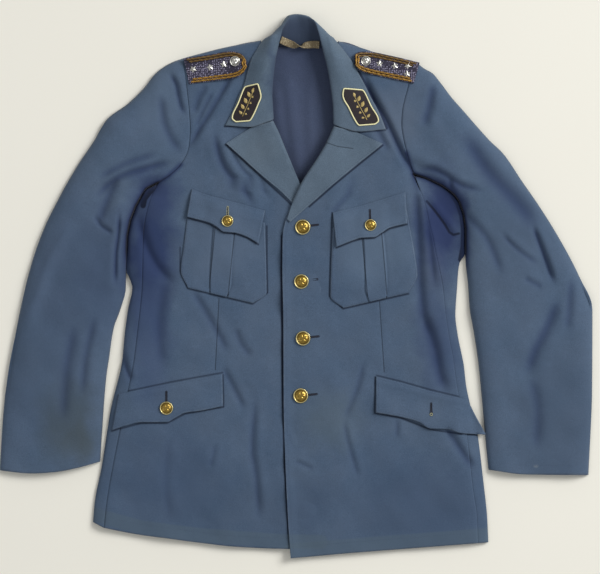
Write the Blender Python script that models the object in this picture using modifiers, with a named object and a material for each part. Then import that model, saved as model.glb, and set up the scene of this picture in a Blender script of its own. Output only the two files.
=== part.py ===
"""Railway uniform jacket laid flat, front up: navy cloth, notched collar, four brass front buttons.

The jacket lies in the XY plane on z = 0. +Y runs to the collar, -X is the wearer's right side, +Z is up.
Tables are in millimetres and the meshes are in metres. Each sheet is the middle of its cloth, given
its wall by a Solidify modifier.
"""

import math

import bpy
import numpy as np
from mathutils import Vector
from mathutils.bvhtree import BVHTree

MM = 0.001
CLOTH = 1.2        # wall of the body and sleeves
FACING = 1.6       # wall of the lapels and collar
FLAP = 1.6         # wall of the pocket flaps
POCKET = 1.2       # wall of the chest pockets
FLAP_RISE = 0.15   # how much further a flap stands off what is under it
GAP = 0.35         # between two pieces at a seam, or where one lies on another
SLEEVE_GAP = 0.85   # the same round an armhole, where the cloth turns
SIDE_GAP = {"right": 0.35, "left": 0.8}   # and along the side seams
EDGE_ROLL = 30.0   # how far in from a folded edge the cloth reaches its full height
NECK_LIFT = 2.3    # how far the collar's fall lifts the back at the neck
LAPEL_ROLL = 4.0   # radius of the fold along a lapel
PLEAT = 1.2        # step of a pocket's box pleat

# Heights of the air between back and front: level y, height.
BODY_LOFT = (
    (-410, 6.0),
    (-250, 7.5),
    (0, 9.5),
    (150, 12.0),
    (370, 12.0),
)
# The same along a sleeve: share of its length, height.
SLEEVE_LOFT = (
    (0.0, 12.0),
    (0.18, 16.0),
    (0.5, 13.0),
    (1.0, 9.0),
)

# Wearer's right side: seam x, seam y, edge x, edge y, from hem to armpit.
RIGHT_SIDE = (
    (-288.0, -362.0, -304.0, -353.5),
    (-283.5, -320.5, -301.5, -325.0),
    (-273.0, -260.5, -290.5, -268.0),
    (-258.0, -185.5, -277.5, -185.5),
    (-243.0, -110.5, -260.0, -110.5),
    (-238.5, -73.0, -256.5, -73.0),
    (-234.0, -35.5, -251.5, -35.5),
    (-231.0, -2.5, -245.0, -2.5),
    (-230.0, 27.5, -252.8, 26.0),
    (-229.0, 75.5, -251.2, 75.5),
    (-227.0, 95.0, -246.8, 95.0),
    (-222.0, 119.0, -238.0, 119.5),
    (-217.5, 143.0, -228.0, 140.5),
)
# Wearer's left side: the same columns. Its front layer falls back into the armpit there.
LEFT_SIDE = (
    (273.0, -385.0, 288.0, -384.0),
    (271.0, -343.0, 286.0, -343.0),
    (265.5, -305.5, 282.0, -305.5),
    (256.0, -223.0, 272.0, -223.0),
    (249.0, -185.5, 262.5, -185.5),
    (241.0, -148.0, 254.5, -148.0),
    (236.0, -110.5, 251.0, -118.0),
    (229.0, -73.0, 242.0, -73.0),
    (224.0, -38.5, 238.5, -43.0),
    (220.0, -2.5, 241.0, -2.5),
    (214.0, 29.0, 243.5, 27.5),
    (209.0, 51.5, 249.0, 50.0),
    (205.0, 72.5, 251.8, 72.5),
    (200.0, 92.0, 251.2, 92.0),
    (196.0, 111.5, 248.2, 110.0),
    (191.0, 130.0, 241.0, 127.5),
    (186.0, 150.0, 220.0, 146.0),
)
# Armhole seams from armpit to shoulder: x, y.
RIGHT_ARMHOLE = (
    (-216.0, 149.0),
    (-192.0, 164.0),
    (-172.5, 182.0),
    (-160.0, 209.0),
    (-158.0, 237.5),
    (-159.5, 262.0),
    (-163.5, 300.5),
    (-168.0, 341.5),
)
LEFT_ARMHOLE = (
    (181.0, 161.0),
    (174.0, 174.5),
    (165.5, 200.0),
    (159.0, 228.5),
    (157.5, 242.0),
    (158.5, 260.0),
    (167.5, 299.0),
    (178.5, 336.5),
)
# Shoulder seams from the armhole to the neck: x, y.
RIGHT_SHOULDER = (
    (-168.0, 341.5),
    (-144.0, 348.0),
    (-106.0, 357.5),
    (-52.5, 368.0),
)
LEFT_SHOULDER = (
    (178.5, 336.5),
    (156.0, 338.5),
    (133.5, 343.0),
    (112.5, 352.0),
    (63.0, 367.0),
)
# The fronts' inner edges: level y, x. Above its break each one is the lapel's roll line, then the neckline.
RIGHT_FRONT_EDGE = (
    (-394.0, 37.5),
    (69.5, 37.0),
    (93.5, 33.0),
    (122.0, 21.0),
    (152.0, 7.0),
    (209.0, -18.0),
    (249.0, -35.5),
    (279.5, -45.0),
    (308.0, -52.0),
    (339.5, -55.5),
    (368.0, -52.5),
)
LEFT_FRONT_EDGE = (
    (-407.5, -8.0),
    (-350.5, -12.0),
    (-265.0, -16.0),
    (-179.5, -18.5),
    (-50.5, -19.0),
    (26.0, -20.5),
    (75.0, -20.0),
    (95.0, -16.5),
    (121.0, -6.5),
    (152.5, 7.5),
    (194.0, 34.0),
    (221.0, 49.0),
    (242.0, 58.0),
    (272.0, 64.0),
    (302.0, 68.0),
    (336.5, 69.0),
    (367.0, 63.0),
)
# Hems from the inner edge to the side seam: x, y.
RIGHT_HEM = (
    (37.5, -394.0),
    (-21.0, -393.5),
    (-87.0, -390.5),
    (-144.0, -384.5),
    (-195.0, -377.5),
    (-234.0, -372.5),
    (-288.0, -362.0),
)
LEFT_HEM = (
    (-8.0, -407.5),
    (28.5, -404.5),
    (66.0, -401.0),
    (156.0, -394.0),
    (273.0, -385.0),
)
BACK_HEM = (
    (-304.0, -350.0),
    (-195.0, -374.0),
    (-21.0, -389.0),
    (120.0, -389.0),
    (288.0, -379.0),
)
BACK_NECK = (
    (-168.0, 341.5),
    (-106.0, 357.5),
    (-55.0, 367.0),
    (-31.0, 363.0),
    (3.0, 361.0),
    (39.0, 361.0),
    (66.0, 366.5),
    (112.5, 352.0),
    (178.5, 336.5),
)
# Sleeves from the armhole down: inner x, inner y, outer x, outer y.
RIGHT_SLEEVE = (
    (-216.0, 149.0, -168.0, 341.5),
    (-229.5, 143.5, -186.0, 335.0),
    (-240.0, 120.5, -208.5, 320.0),
    (-248.5, 98.0, -228.0, 296.0),
    (-253.0, 75.5, -250.5, 274.0),
    (-254.0, 51.5, -282.5, 250.0),
    (-255.0, 27.5, -303.0, 216.5),
    (-255.8, -5.5, -329.0, 177.5),
    (-264.0, -35.5, -356.0, 129.5),
    (-274.0, -64.0, -378.0, 84.5),
    (-280.5, -106.0, -396.0, 33.5),
    (-285.0, -137.5, -412.5, -34.0),
    (-291.0, -215.5, -436.5, -170.5),
    (-294.0, -263.0, -444.0, -276.0),
)
LEFT_SLEEVE = (
    (181.0, 161.0, 178.5, 336.5),
    (197.0, 159.0, 192.0, 326.0),
    (219.0, 150.0, 204.0, 319.0),
    (237.0, 137.0, 216.0, 305.0),
    (245.0, 126.0, 232.5, 283.0),
    (251.0, 108.5, 251.5, 261.5),
    (254.0, 87.5, 271.0, 239.0),
    (254.0, 60.5, 290.0, 218.0),
    (255.0, 33.5, 310.5, 198.0),
    (258.5, 2.0, 337.5, 158.5),
    (261.0, -34.0, 366.0, 117.0),
    (267.0, -68.5, 394.5, 71.0),
    (273.0, -107.5, 423.0, 17.0),
    (277.0, -145.0, 444.0, -36.0),
    (284.0, -223.0, 443.5, -155.5),
    (289.0, -275.0, 438.0, -283.0),
)
# Cuff edges from the inner corner: x, y.
RIGHT_CUFF = (
    (-294.0, -263.0),
    (-329.0, -272.5),
    (-362.0, -278.5),
    (-396.0, -280.5),
    (-444.0, -276.0),
)
LEFT_CUFF = (
    (289.0, -275.0),
    (345.0, -282.0),
    (438.0, -283.0),
)

# Lapels from the break up: roll x, roll y, edge x, edge y.
RIGHT_LAPEL = (
    (28.0, 103.0, 24.0, 96.0),
    (15.0, 134.0, -6.0, 125.5),
    (6.0, 153.0, -25.5, 144.5),
    (-2.5, 173.0, -48.5, 163.5),
    (-14.0, 200.0, -81.0, 192.5),
    (-25.5, 228.5, -104.5, 213.5),
    (-34.5, 247.0, -66.5, 237.5),
)
LEFT_LAPEL = (
    (-13.5, 100.0, -9.0, 96.0),
    (-6.5, 121.0, 20.0, 121.5),
    (7.5, 152.5, 57.0, 154.0),
    (34.0, 194.0, 97.0, 187.0),
    (44.0, 211.0, 115.0, 201.0),
    (50.0, 223.0, 129.5, 213.0),
    (57.0, 239.0, 88.0, 231.0),
)

# How the collar's ends dip to the notch: share down its fall, shift in y. It fades within NOTCH_REACH.
NOTCH_DIP = {
    "right": ((0.0, -2.2), (0.15, -3.8), (0.32, -5.9), (1.0, 1.0)),
    "left": ((0.0, -3.8), (0.15, -5.9), (0.33, -8.0), (1.0, -2.7)),
}
NOTCH_REACH = 18.0

# The collar from the wearer's right point round the neck to the left one. Each row is a section: its seam on
# the neckline x, y; the crest of its stand x, y, z; the turn of its fall x, y, z; its outer edge x, y, z.
COLLAR = (
    (-41.0, 255.0, -34.0, 250.5, 17.5, -44.0, 247.5, 20.5, -106.5, 239.5, 15.2),
    (-47.0, 269.0, -35.0, 267.5, 19.5, -49.0, 267.0, 22.5, -95.0, 261.5, 15.2),
    (-50.5, 286.0, -36.0, 285.5, 20.5, -50.0, 285.0, 24.0, -86.0, 284.0, 15.2),
    (-54.0, 305.0, -35.0, 305.0, 21.5, -49.0, 304.0, 25.5, -77.5, 302.0, 15.4),
    (-57.0, 323.0, -33.0, 323.0, 22.5, -46.0, 322.0, 27.0, -72.5, 320.5, 15.8),
    (-57.5, 339.0, -31.0, 339.5, 23.5, -43.0, 339.0, 28.0, -67.0, 338.5, 16.0),
    (-56.5, 353.0, -27.5, 356.5, 24.5, -38.0, 356.0, 29.0, -57.5, 354.5, 15.0),
    (-51.0, 362.0, -23.5, 372.5, 26.0, -34.5, 372.5, 27.0, -47.5, 369.5, 9.0),
    (-38.0, 361.0, -20.0, 386.0, 25.0, -32.5, 379.0, 19.0, -41.0, 372.5, 3.0),
    (-26.0, 360.0, -14.0, 396.0, 20.0, -23.0, 389.5, 12.0, -34.0, 364.0, 0.8),
    (-12.0, 359.5, -7.0, 404.0, 14.0, -10.0, 405.5, 7.0, -18.0, 354.0, 0.8),
    (3.0, 359.0, 2.0, 405.5, 11.0, 1.0, 407.2, 5.5, 3.0, 350.0, 0.8),
    (18.0, 359.0, 14.0, 403.5, 14.0, 16.0, 404.8, 7.0, 24.0, 354.0, 0.8),
    (33.0, 359.0, 27.0, 397.0, 20.0, 33.0, 391.5, 12.0, 41.0, 364.0, 0.8),
    (48.0, 360.0, 33.5, 381.0, 25.0, 45.5, 378.5, 19.0, 52.5, 373.5, 3.0),
    (61.0, 361.0, 38.0, 364.0, 26.0, 49.0, 366.0, 27.0, 59.5, 367.0, 9.0),
    (69.0, 352.0, 42.5, 346.0, 24.5, 55.0, 346.0, 29.0, 76.0, 346.0, 15.0),
    (71.0, 339.0, 45.5, 335.0, 23.5, 58.0, 334.5, 28.0, 85.0, 334.0, 16.0),
    (71.5, 322.0, 48.5, 321.0, 22.5, 62.0, 320.5, 27.0, 92.5, 320.0, 15.8),
    (70.5, 303.0, 51.5, 303.5, 21.5, 66.0, 303.0, 25.5, 102.0, 303.0, 15.4),
    (68.0, 285.0, 54.0, 286.0, 20.5, 68.0, 285.5, 24.0, 111.0, 284.5, 15.2),
    (65.0, 268.0, 56.0, 266.0, 19.5, 70.0, 265.0, 22.5, 123.0, 262.5, 15.2),
    (61.5, 250.0, 56.5, 243.5, 17.5, 68.0, 241.0, 20.5, 134.5, 237.5, 15.2),
)

# Largest folds: side, from x, y, to x, y, half width, height. A negative height is a trough.
FOLDS = (
    ("sleeve_right", -165, 181, -281, 142, 17, -3.5),
    ("sleeve_right", -257, 118, -272, 8, 15, 3.0),
    ("sleeve_right", -190, 320, -166, 240, 16, -2.5),
    ("sleeve_left", 270, 204, 348, 114, 18, -3.0),
    ("sleeve_left", 365, 65, 372, 22, 16, -3.5),
    ("sleeve_left", 393, -21, 350, -126, 18, -2.5),
    ("front_right", -118, 215, -66, 132, 16, 2.5),
    ("front_right", -230, 95, -188, 8, 16, -2.0),
    ("front_left", 60, -150, 75, -272, 18, 1.8),
    ("front_left", 196, -60, 222, -146, 16, -2.0),
)

# Pockets from the foot up: left x, left y, right x, right y; then where the pleat starts and ends across.
RIGHT_POCKET = (
    (-161.5, -2.5, -64.5, -25.5),
    (-172.5, 22.5, -44.0, -9.0),
    (-168.0, 60.0, -45.0, 40.0),
    (-160.0, 125.0, -47.0, 95.0),
)
RIGHT_POCKET_PLEAT = (0.35, 0.58)
LEFT_POCKET = (
    (71.0, -32.5, 168.0, -10.0),
    (51.5, -15.0, 181.5, 16.5),
    (52.5, 30.0, 178.0, 45.0),
    (55.5, 88.0, 164.0, 122.0),
)
LEFT_POCKET_PLEAT = (0.41, 0.645)

# Flaps: the sewn top edge, then the free foot, each from left to right: x, y.
FLAPS = {
    "chest_flap_right": (
        ((-156.0, 145.5), (-138.0, 138.5), (-88.5, 125.0), (-46.5, 113.0)),
        ((-163.0, 104.0), (-129.5, 95.0), (-119.0, 89.5), (-108.0, 81.5), (-91.0, 80.0),
         (-73.5, 74.0), (-56.5, 64.0)),
    ),
    "chest_flap_left": (
        ((55.0, 110.0), (102.0, 122.0), (163.5, 141.0)),
        ((60.5, 59.0), (84.5, 68.5), (98.0, 72.5), (117.0, 73.5), (128.0, 80.0), (140.0, 87.5),
         (166.0, 94.0)),
    ),
    "hip_flap_right": (
        ((-265.5, -161.5), (-185.0, -145.0), (-110.5, -131.5)),
        ((-275.5, -215.5), (-252.5, -208.0), (-231.5, -203.5), (-193.5, -203.5), (-182.0, -197.5),
         (-166.5, -189.5), (-144.0, -186.5), (-109.5, -179.5)),
    ),
    "hip_flap_left": (
        ((120.0, -135.5), (156.0, -144.0), (202.0, -157.0), (252.0, -169.5)),
        ((119.5, -189.0), (156.0, -195.5), (184.5, -203.5), (201.0, -213.0), (227.0, -214.0),
         (248.0, -220.0), (277.0, -222.5)),
    ),
}

# Shoulder boards from the armhole in: foot x, foot y, top x, top y. The last rows round its inner end.
BOARDS = {
    "shoulder_board_right": (
        (-159.8, 302.5, -168.3, 341.0),
        (-120.0, 307.5, -129.5, 346.5),
        (-90.0, 312.0, -97.5, 351.5),
        (-79.0, 318.5, -83.5, 348.5),
        (-72.8, 328.5, -74.5, 338.5),
    ),
    "shoulder_board_left": (
        (176.0, 303.5, 185.0, 334.5),
        (137.0, 311.5, 141.0, 345.0),
        (106.0, 318.5, 106.0, 351.0),
        (94.5, 323.5, 94.5, 350.5),
        (88.0, 331.0, 87.0, 345.5),
    ),
}
BOARD_WALL = 2.4
# Collar patches from the foot up: outer x, outer y, inner x, inner y.
PATCHES = {
    "collar_patch_right": (
        (-90.0, 246.0, -69.0, 247.5),
        (-95.5, 251.0, -66.5, 251.0),
        (-86.0, 275.0, -56.5, 272.5),
        (-77.0, 297.0, -52.5, 285.0),
        (-75.5, 298.5, -57.0, 302.5),
    ),
    "collar_patch_left": (
        (118.0, 242.5, 94.0, 240.5),
        (123.5, 247.0, 91.0, 244.0),
        (112.0, 270.0, 79.5, 266.0),
        (101.5, 291.5, 70.0, 287.0),
        (99.5, 293.5, 71.5, 295.5),
    ),
}
PATCH_WALL = 1.0
PIPING_RISE = 0.7

# Buttons: x, y, diameter.
BUTTONS = {
    "front_button_1": (10.0, 88.5, 23.0),
    "front_button_2": (8.0, 7.0, 22.0),
    "front_button_3": (10.5, -78.0, 22.0),
    "front_button_4": (7.0, -164.0, 22.5),
    "chest_button_right": (-102.5, 97.5, 17.5),
    "chest_button_left": (111.5, 91.5, 17.5),
    "hip_button_right": (-194.0, -182.5, 20.0),
    "board_button_right": (-91.5, 336.5, 15.0),
    "board_button_left": (104.5, 337.0, 14.5),
}
# Stars: x, y, turn in degrees.
STARS = {
    "star_right_1": (-108.0, 332.0, 8),
    "star_right_2": (-128.5, 327.5, 20),
    "star_right_3": (-154.0, 324.5, 35),
    "star_left_1": (125.0, 333.0, -6),
    "star_left_2": (148.0, 329.5, 14),
    "star_left_3": (167.0, 330.0, 40),
    "star_left_4": (166.5, 317.5, 10),
}
STAR_RADIUS = 5.8
# Hanger loop at the back of the neck: x, y, rise over the cloth, turn about its own line in degrees.
LOOP = (
    (-22.5, 368.5, 0.0, 0),
    (-16.0, 366.0, 0.4, 0),
    (-6.0, 362.0, 2.5, 20),
    (3.0, 359.5, 4.5, 75),
    (9.0, 359.0, 4.5, 110),
    (16.0, 361.0, 3.2, 155),
    (27.0, 362.0, 0.4, 180),
    (35.0, 361.5, 0.0, 180),
)
LOOP_WIDTH = 11.0
LOOP_WALL = 0.8

# Colour, roughness, metallic.
FINISHES = {
    "navy_cloth": ((0.075, 0.115, 0.185), 0.85, 0.0),
    "brass": ((0.45, 0.34, 0.12), 0.35, 1.0),
    "silver": ((0.62, 0.62, 0.60), 0.3, 1.0),
    "board_knit": ((0.06, 0.07, 0.13), 0.8, 0.0),
    "patch_felt": ((0.012, 0.012, 0.018), 0.9, 0.0),
    "tape": ((0.20, 0.15, 0.08), 0.85, 0.0),
}


# Curves and heights

def through(knots, values, at):
    """Smooth values through the knots. A curve never swings past a knot, so outlines stay as tabled."""
    knots = np.asarray(knots, float)
    values = np.asarray(values, float).reshape(len(knots), -1)
    step = np.diff(knots)[:, None]
    slope = np.diff(values, axis=0) / step
    tangent = np.zeros_like(values)
    product = slope[:-1] * slope[1:]
    total = slope[:-1] + slope[1:]
    inner = np.where(product > 0, 2 * product / np.where(total == 0, 1, total), 0)
    tangent[1:-1] = inner
    tangent[0] = slope[0]
    tangent[-1] = slope[-1]
    at = np.clip(np.asarray(at, float), knots[0], knots[-1])
    k = np.clip(np.searchsorted(knots, at, side="right") - 1, 0, len(knots) - 2)
    width = step[k, 0]
    t = ((at - knots[k]) / width)[:, None]
    h = width[:, None]
    return (
        values[k] * (1 + 2 * t) * (1 - t) ** 2
        + tangent[k] * h * t * (1 - t) ** 2
        + values[k + 1] * t**2 * (3 - 2 * t)
        + tangent[k + 1] * h * t**2 * (t - 1)
    )


def lengths(points):
    """How far along its own line each point is, from 0 to 1."""
    points = np.asarray(points, float)
    run = np.concatenate([[0], np.cumsum(np.linalg.norm(np.diff(points, axis=0), axis=1))])
    return run / run[-1]


def along(points, at):
    return through(lengths(points), points, at)


def soft_step(value, start, end):
    t = np.clip((value - start) / (end - start), 0, 1)
    return t * t * (3 - 2 * t)


def one_value(table, at):
    table = np.asarray(table, float)
    at = np.asarray(at, float)
    return through(table[:, 0], table[:, 1], at.ravel())[:, 0].reshape(at.shape)


def distance(x, y, line):
    """Distance in plan from each point to a line of points."""
    line = np.asarray(line, float)
    point = np.stack([x, y], axis=-1)[..., None, :]
    start, run = line[:-1], np.diff(line, axis=0)
    share = np.clip(((point - start) * run).sum(-1) / (run**2).sum(-1), 0, 1)
    return np.linalg.norm(point - start - share[..., None] * run, axis=-1).min(-1)


def folded_edges(side, sleeve, shoulder):
    side, sleeve = np.asarray(side), np.asarray(sleeve)
    return [
        np.vstack([side[:, 2:], sleeve[:1, :2]]),
        sleeve[:, :2],
        sleeve[:, 2:],
        np.asarray(shoulder),
    ]


EDGES = {
    "right": folded_edges(RIGHT_SIDE, RIGHT_SLEEVE, RIGHT_SHOULDER),
    "left": folded_edges(LEFT_SIDE, LEFT_SLEEVE, LEFT_SHOULDER),
}


def edge_rise(x, y, side):
    """0 on a folded edge, 1 from EDGE_ROLL inwards, round between."""
    near = np.min([distance(x, y, line) for line in EDGES[side]], axis=0)
    share = np.clip(near / EDGE_ROLL, 0, 1)
    return np.sqrt(1 - (1 - share) ** 2)


def neck_lift(x, y):
    return NECK_LIFT * soft_step(y, 296, 342) * soft_step(-np.abs(x - 5), -100, -60)


def fold_height(x, y, panel):
    height = np.zeros(np.shape(x))
    for name, x0, y0, x1, y1, half_width, rise in FOLDS:
        if name == panel:
            height += rise * np.exp(-((distance(x, y, ((x0, y0), (x1, y1))) / half_width) ** 2))
    return height


def overlap_lift(x, y):
    """How far the wearer's left front is lifted by the right front and its lapel."""
    near = 1 - soft_step(x, 48, 92)
    below = 1 - soft_step(y, 168, 218)
    lapel = soft_step(y, 55, 86)
    return near * below * (CLOTH + GAP + 0.1 + lapel * (FACING + GAP))


def front_height(x, y, side):
    height = CLOTH * 1.5 + GAP + neck_lift(x, y)
    height = height + one_value(BODY_LOFT, y) * edge_rise(x, y, side)
    height = height + fold_height(x, y, "front_" + side) * edge_rise(x, y, side)
    if side == "left":
        height = height + overlap_lift(x, y)
    return height


def lapel_curl(y, side):
    """How round the lapel's fold is: flat at the break, full further up."""
    start = {"right": (160, 205), "left": (98, 150)}[side]
    return LAPEL_ROLL * soft_step(y, *start)


# Meshes

def paint(thing, finish):
    colour, roughness, metallic = FINISHES[finish]
    material = bpy.data.materials.new(thing.name + "_" + finish)
    material.use_nodes = True
    shader = material.node_tree.nodes["Principled BSDF"]
    shader.inputs["Base Color"].default_value = (*colour, 1)
    shader.inputs["Roughness"].default_value = roughness
    shader.inputs["Metallic"].default_value = metallic
    material.diffuse_color = (*colour, 1)
    thing.data.materials.append(material)


def mesh_object(name, points, faces, finish, place=(0, 0, 0)):
    """An object from points in millimetres."""
    mesh = bpy.data.meshes.new(name)
    mesh.from_pydata([tuple(p) for p in np.asarray(points, float) * MM], [], faces)
    mesh.validate()
    thing = bpy.data.objects.new(name, mesh)
    thing.location = [value * MM for value in place]
    collection.objects.link(thing)
    paint(thing, finish)
    return thing


def sheet(name, grid, wall, finish):
    """A grid of rows and columns of points as one sheet of cloth, its wall half on each side."""
    rows, columns = grid.shape[:2]
    faces = []
    for r in range(rows - 1):
        for c in range(columns - 1):
            first = r * columns + c
            faces.append((first, first + 1, first + columns + 1, first + columns))
    span = np.cross(grid[0, -1] - grid[0, 0], grid[-1, 0] - grid[0, 0])
    if span[2] < 0:
        faces = [face[::-1] for face in faces]
    thing = mesh_object(name, grid.reshape(-1, 3), faces, finish)
    for polygon in thing.data.polygons:
        polygon.use_smooth = True
    solid = thing.modifiers.new("wall", "SOLIDIFY")
    solid.thickness = wall * MM
    solid.offset = 0
    solid.use_even_offset = False
    return thing


def plan_grid(sides, across, foot=None, head=None, foot_reach=2.0):
    """Rows of points between two long edges, bent to the foot and head lines."""
    sides = np.asarray(sides, float)
    across = np.asarray(across, float)
    left, right = sides[:, None, :2], sides[:, None, 2:4]
    share = across[None, :, None] if across.ndim == 1 else across[..., None]
    grid = left + (right - left) * share
    up = np.linspace(0, 1, len(sides))[:, None, None]
    if foot is not None:
        grid = grid + (along(foot, share[0, :, 0]) - grid[0]) * (1 - up) ** foot_reach
    if head is not None:
        grid = grid + (along(head, share[-1, :, 0]) - grid[-1]) * up**2
    return grid


def raised(grid, height):
    return np.concatenate([grid, height[..., None]], axis=-1)


def row_table(table, at):
    """Rows of a table at shares of its length along its middle."""
    table = np.asarray(table, float)
    middle = (table[:, :2] + table[:, 2:4]) / 2
    return through(lengths(middle), table, at)


def top_of(x, y, trees, reach):
    """The highest surface of the pieces within reach of a point, or None where there is none."""
    best = None
    for turn in range(17):
        angle = math.tau * turn / 8
        out = reach * (0 if turn == 16 else 1 - turn // 8 / 2)
        start = Vector((x + out * math.cos(angle), y + out * math.sin(angle), 200)) * MM
        for tree in trees:
            hit = tree.ray_cast(start, Vector((0, 0, -1)))[0]
            if hit is not None:
                best = max(best or 0, hit.z / MM)
    return best


def trees_of(names):
    bpy.context.view_layer.update()
    graph = bpy.context.evaluated_depsgraph_get()
    return [BVHTree.FromObject(bpy.data.objects[name], graph) for name in names]


def draped(grid, on, wall, reach=6.0, stiff=2):
    """The grid laid over other pieces. A stiff piece bridges their hollows."""
    trees = trees_of(on)
    heights = np.full(grid.shape[:2], np.nan)
    for index in np.ndindex(heights.shape):
        top = top_of(*grid[index], trees, reach)
        heights[index] = np.nan if top is None else top
    heights = np.where(np.isnan(heights), np.nanmean(heights), heights)
    for _ in range(stiff):
        padded = np.pad(heights, 1, mode="edge")
        around = padded[:-2, 1:-1] + padded[2:, 1:-1] + padded[1:-1, :-2] + padded[1:-1, 2:]
        heights = np.maximum(heights, around / 4)
    return raised(grid, heights + GAP + wall / 2)


def nudged(grid, gap):
    """The first row pulled back square to itself, from the piece it is sewn to."""
    grid = grid.copy()
    run = np.gradient(grid[0, :, :2], axis=0)
    square = np.stack([-run[:, 1], run[:, 0]], axis=-1)
    square /= np.linalg.norm(square, axis=-1, keepdims=True)
    away = np.sign(((grid[1] - grid[0])[:, :2] * square).sum())
    grid[0, :, :2] += square * away * gap
    return grid


# Body

ARMHOLE_AT = (0, 0.04, 0.09, 0.16, 0.25, 0.36, 0.48, 0.6, 0.71, 0.8, 0.87, 0.93, 0.97, 1)
BODY_AT = np.array((0, 0.05, 0.11, 0.18, 0.25, 0.32, 0.39, 0.46, 0.53, 0.6, 0.67, 0.74, 0.81, 0.87, 0.93, 0.975))
FRONT_ACROSS = (0.11, 0.2, 0.3, 0.4, 0.5, 0.6, 0.7, 0.79, 0.87, 0.94, 1)


def outer_line(side, armhole):
    """Points of the side seam, then of the armhole. The pieces that meet there share them."""
    side = np.asarray(side)
    low = through(lengths(side[:, :2]), side, BODY_AT)
    return low, along(armhole, ARMHOLE_AT)


def front(side, edge, table, armhole, hem, shoulder):
    low, high = outer_line(table, armhole)
    outer = np.vstack([low[:, :2], high])
    edge = np.asarray(edge)
    foot, top = edge[0, 0], edge[-1, 0]
    level = np.interp(
        outer[:, 1],
        (outer[0, 1], -20, outer[len(low), 1], outer[-1, 1]),
        (foot, -25, 168, top),
    )
    inner = np.stack([one_value(edge, level), level], axis=-1)
    width = np.linalg.norm(outer - inner, axis=1)[:, None]
    across = np.concatenate(
        [0 / width, LAPEL_ROLL * 0.3 / width, LAPEL_ROLL / width, np.tile(FRONT_ACROSS, (len(width), 1))],
        axis=1,
    )
    grid = plan_grid(np.hstack([inner, outer]), across, foot=hem, foot_reach=4)
    share = across[-1][:, None]
    up = soft_step(np.linspace(0, 1, len(inner)), 0.8, 1)[:, None, None]
    grid = grid + (along(np.asarray(shoulder)[::-1], share[:, 0]) - grid[-1]) * up
    height = front_height(grid[..., 0], grid[..., 1], side)
    gorge = {"right": 254, "left": 246}[side]
    curl = lapel_curl(level, side) * (1 - soft_step(level, gorge - 18, gorge))
    height[:, 0] += curl * 0.6
    height[:, 1] += curl * 0.15
    return sheet("front_" + side, raised(grid, height), CLOTH, "navy_cloth")


def side_panel(side, table, armhole):
    low, _ = outer_line(table, armhole)
    across = np.array((0, 0.12, 0.3, 0.55, 0.8, 1))
    grid = plan_grid(low, across)
    height = front_height(grid[..., 0], grid[..., 1], side)
    if side == "left":
        floor = CLOTH * 1.5 + GAP
        fallen = floor + (height[:, :1] - floor) * (1 - across) ** 4
        share = soft_step(grid[..., 1], -10, 60)
        height = height * (1 - share) + fallen * share
    grid = nudged(raised(grid, height).swapaxes(0, 1), SIDE_GAP[side]).swapaxes(0, 1)
    return sheet("side_" + side, grid, CLOTH, "navy_cloth")


def back():
    lines = []
    for table, armhole in ((RIGHT_SIDE, RIGHT_ARMHOLE), (LEFT_SIDE, LEFT_ARMHOLE)):
        side = np.asarray(table)
        low = through(lengths(side[:, 2:]), side[:, 2:], np.append(BODY_AT[:-1:2], BODY_AT[-1]))
        lines.append(np.vstack([low, along(armhole, ARMHOLE_AT)]))
    across = (0, 0.12, 0.24, 0.355, 0.43, 0.5, 0.565, 0.645, 0.76, 0.88, 1)
    grid = plan_grid(np.hstack(lines), across, foot=BACK_HEM, foot_reach=4)
    up = soft_step(np.linspace(0, 1, len(grid)), 0.6, 1)[:, None, None]
    grid = grid + (along(BACK_NECK, across) - grid[-1]) * up
    height = CLOTH / 2 + neck_lift(grid[..., 0], grid[..., 1])
    return sheet("back", raised(grid, height), CLOTH, "navy_cloth")


# Sleeves

def sleeves(side, table, armhole, cuff):
    crown = (0, 0.02, 0.05, 0.09)
    top_at = np.append(crown, np.linspace(0.135, 1, 19))
    under_at = np.append(crown, np.linspace(0.16, 1, 8))
    for name, at in (("top_sleeve_", top_at), ("under_sleeve_", under_at)):
        sides = row_table(table, at)
        grid = plan_grid(sides, ARMHOLE_AT)
        reach = 5 + 30 * (1 - np.asarray(ARMHOLE_AT)) ** 4
        weight = ((1 - np.asarray(at))[:, None] ** reach)[..., None]
        grid = grid + (along(armhole, ARMHOLE_AT) - grid[0]) * weight
        weight = np.asarray(at)[:, None, None] ** 3
        grid = grid + (along(cuff, ARMHOLE_AT) - grid[-1]) * weight
        x, y = grid[..., 0], grid[..., 1]
        if name == "under_sleeve_":
            height = np.full(x.shape, CLOTH / 2)
        else:
            loft = one_value(SLEEVE_LOFT, at)[:, None]
            start = front_height(x[:1], y[:1], side) - CLOTH * 1.5 - GAP
            own = (loft + fold_height(x, y, "sleeve_" + side)) * edge_rise(x, y, side)
            share = soft_step(np.asarray(at), 0, 0.1)[:, None]
            height = CLOTH * 1.5 + GAP + start * (1 - share) + own * share
        sheet(name + side, nudged(raised(grid, height), SLEEVE_GAP), CLOTH, "navy_cloth")


# Lapels and collar

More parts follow.
